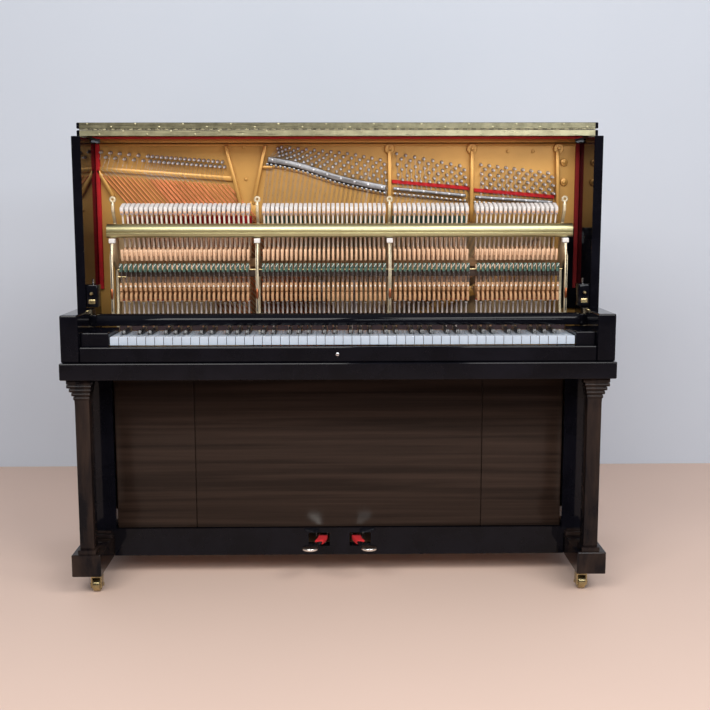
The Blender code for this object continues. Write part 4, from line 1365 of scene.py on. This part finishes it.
def build_stage():
    f = bpy.context.scene.piano_stage
    wide, deep, tall = 9, 7, 6
    floor_made = Shape("floor").box((-wide, -deep, -0.02), (wide, deep, 0)).mesh("floor")
    wall_made = bpy.data.meshes.new("wall")
    corners = [(x, f.wall_y, z) for x, z in ((-wide, 0), (wide, 0), (wide, tall), (-wide, tall))]
    wall_made.from_pydata(corners, [], [(0, 1, 2, 3)])
    wall_made.materials.append(FINISH["wall"])
    for mesh in (floor_made, wall_made):
        placed(mesh.name, mesh)
    light_the_room(f.wall)
    for name, place, aim, size, tint in LAMPS:
        lamp = bpy.data.lights.new(name, "AREA")
        lamp.shape = "RECTANGLE"
        lamp.size, lamp.size_y = size
        lamp.energy = getattr(f, name)
        lamp.color = tint
        made = placed(name, lamp)
        made.location = place
        made.rotation_euler = (Vector(aim) - Vector(place)).to_track_quat("-Z", "Y").to_euler()
    camera = bpy.data.cameras.new("camera")
    camera.lens, camera.sensor_width = f.lens, 36
    holder = placed("camera", camera)
    holder.location = CAMERA_PLACE
    pan, tilt, roll = [
        Matrix.Rotation(math.radians(angle), 3, axis)
        for angle, axis in ((CAMERA_TURN, "Z"), (90 - CAMERA_DROP, "X"), (CAMERA_ROLL, "Z"))
    ]
    holder.rotation_euler = (pan @ tilt @ roll).to_euler()
    bpy.context.scene.camera = holder
    bpy.context.scene.view_settings.view_transform = "Standard"


# ---------------------------------------------------------------- add-on


class PianoPart:
    """What every operator of this add-on shares."""

    bl_options = {"REGISTER", "UNDO"}


class PIANO_OT_stage(PianoPart, bpy.types.Operator):
    """Floor, backdrop, soft lights and camera"""

    bl_idname = "piano.stage"
    bl_label = "Stage"

    def execute(self, context):
        build_stage()
        return {"FINISHED"}


class PIANO_OT_case(PianoPart, bpy.types.Operator):
    """Polished boards of the case, legs, toes and lower panel"""

    bl_idname = "piano.case"
    bl_label = "Case"

    def execute(self, context):
        build_case()
        return {"FINISHED"}


class PIANO_OT_keyboard(PianoPart, bpy.types.Operator):
    """White and black keys, their capstans and the strips around them"""

    bl_idname = "piano.keyboard"
    bl_label = "Keyboard"

    def execute(self, context):
        build_white_keys()
        build_black_keys()
        build_capstans()
        build_key_well()
        return {"FINISHED"}


class PIANO_OT_action(PianoPart, bpy.types.Operator):
    """Hammers, wippens, dampers, rails and brackets"""

    bl_idname = "piano.action"
    bl_label = "Action"

    def execute(self, context):
        build_hammers()
        build_wippens()
        build_dampers()
        build_rails()
        build_brackets()
        return {"FINISHED"}


class PIANO_OT_plate(PianoPart, bpy.types.Operator):
    """Iron plate, pressure bars, felts, tuning pins and strings"""

    bl_idname = "piano.plate"
    bl_label = "Plate and strings"

    def execute(self, context):
        build_plate()
        build_strings()
        return {"FINISHED"}


class PIANO_OT_back(PianoPart, bpy.types.Operator):
    """Posts, soundboard ribs and bolts of the back"""

    bl_idname = "piano.back"
    bl_label = "Back"

    def execute(self, context):
        build_back()
        return {"FINISHED"}


class PIANO_OT_fittings(PianoPart, bpy.types.Operator):
    """Lid hinge and pedals"""

    bl_idname = "piano.fittings"
    bl_label = "Hinge and pedals"

    def execute(self, context):
        build_hinge()
        build_pedals()
        return {"FINISHED"}


PARTS = (
    PIANO_OT_stage,
    PIANO_OT_case,
    PIANO_OT_fittings,
    PIANO_OT_plate,
    PIANO_OT_back,
    PIANO_OT_action,
    PIANO_OT_keyboard,
)


class PIANO_PT_panel(bpy.types.Panel):
    """Lists the parts of the piano in the sidebar of the 3D view"""

    bl_idname = "PIANO_PT_panel"
    bl_label = "Opened Upright Piano"
    bl_space_type = "VIEW_3D"
    bl_region_type = "UI"
    bl_category = "Piano"

    def draw(self, context):
        for name in SETTINGS:
            group = getattr(context.scene, name)
            column = self.layout.column(align=True)
            for key in group.bl_rna.properties.keys():
                if key not in ("rna_type", "name"):
                    column.prop(group, key)
        for part in PARTS:
            self.layout.operator(part.bl_idname)


CLASSES = (*SETTINGS.values(), *PARTS, PIANO_PT_panel)


def register():
    for made in CLASSES:
        bpy.utils.register_class(made)
    for name, group in SETTINGS.items():
        setattr(bpy.types.Scene, name, PointerProperty(type=group))


def unregister():
    for name in SETTINGS:
        delattr(bpy.types.Scene, name)
    for made in reversed(CLASSES):
        bpy.utils.unregister_class(made)


def main():
    register()
    scene = bpy.context.scene
    TREES["repeat"] = repeat_tree()
    TREES["wires"] = wire_tree()
    FINISH.update(make_finishes(scene.piano_finishes))
    FINISH["floor"] = backdrop("floor_paint", scene.piano_stage.floor)
    FINISH["wall"] = backdrop("wall_paint", scene.piano_stage.wall, True)
    for part in PARTS:
        group, call = part.bl_idname.split(".")
        if getattr(getattr(bpy.ops, group), call)() != {"FINISHED"}:
            raise RuntimeError(part.bl_idname + " did not finish")


if __name__ == "__main__":
    main()
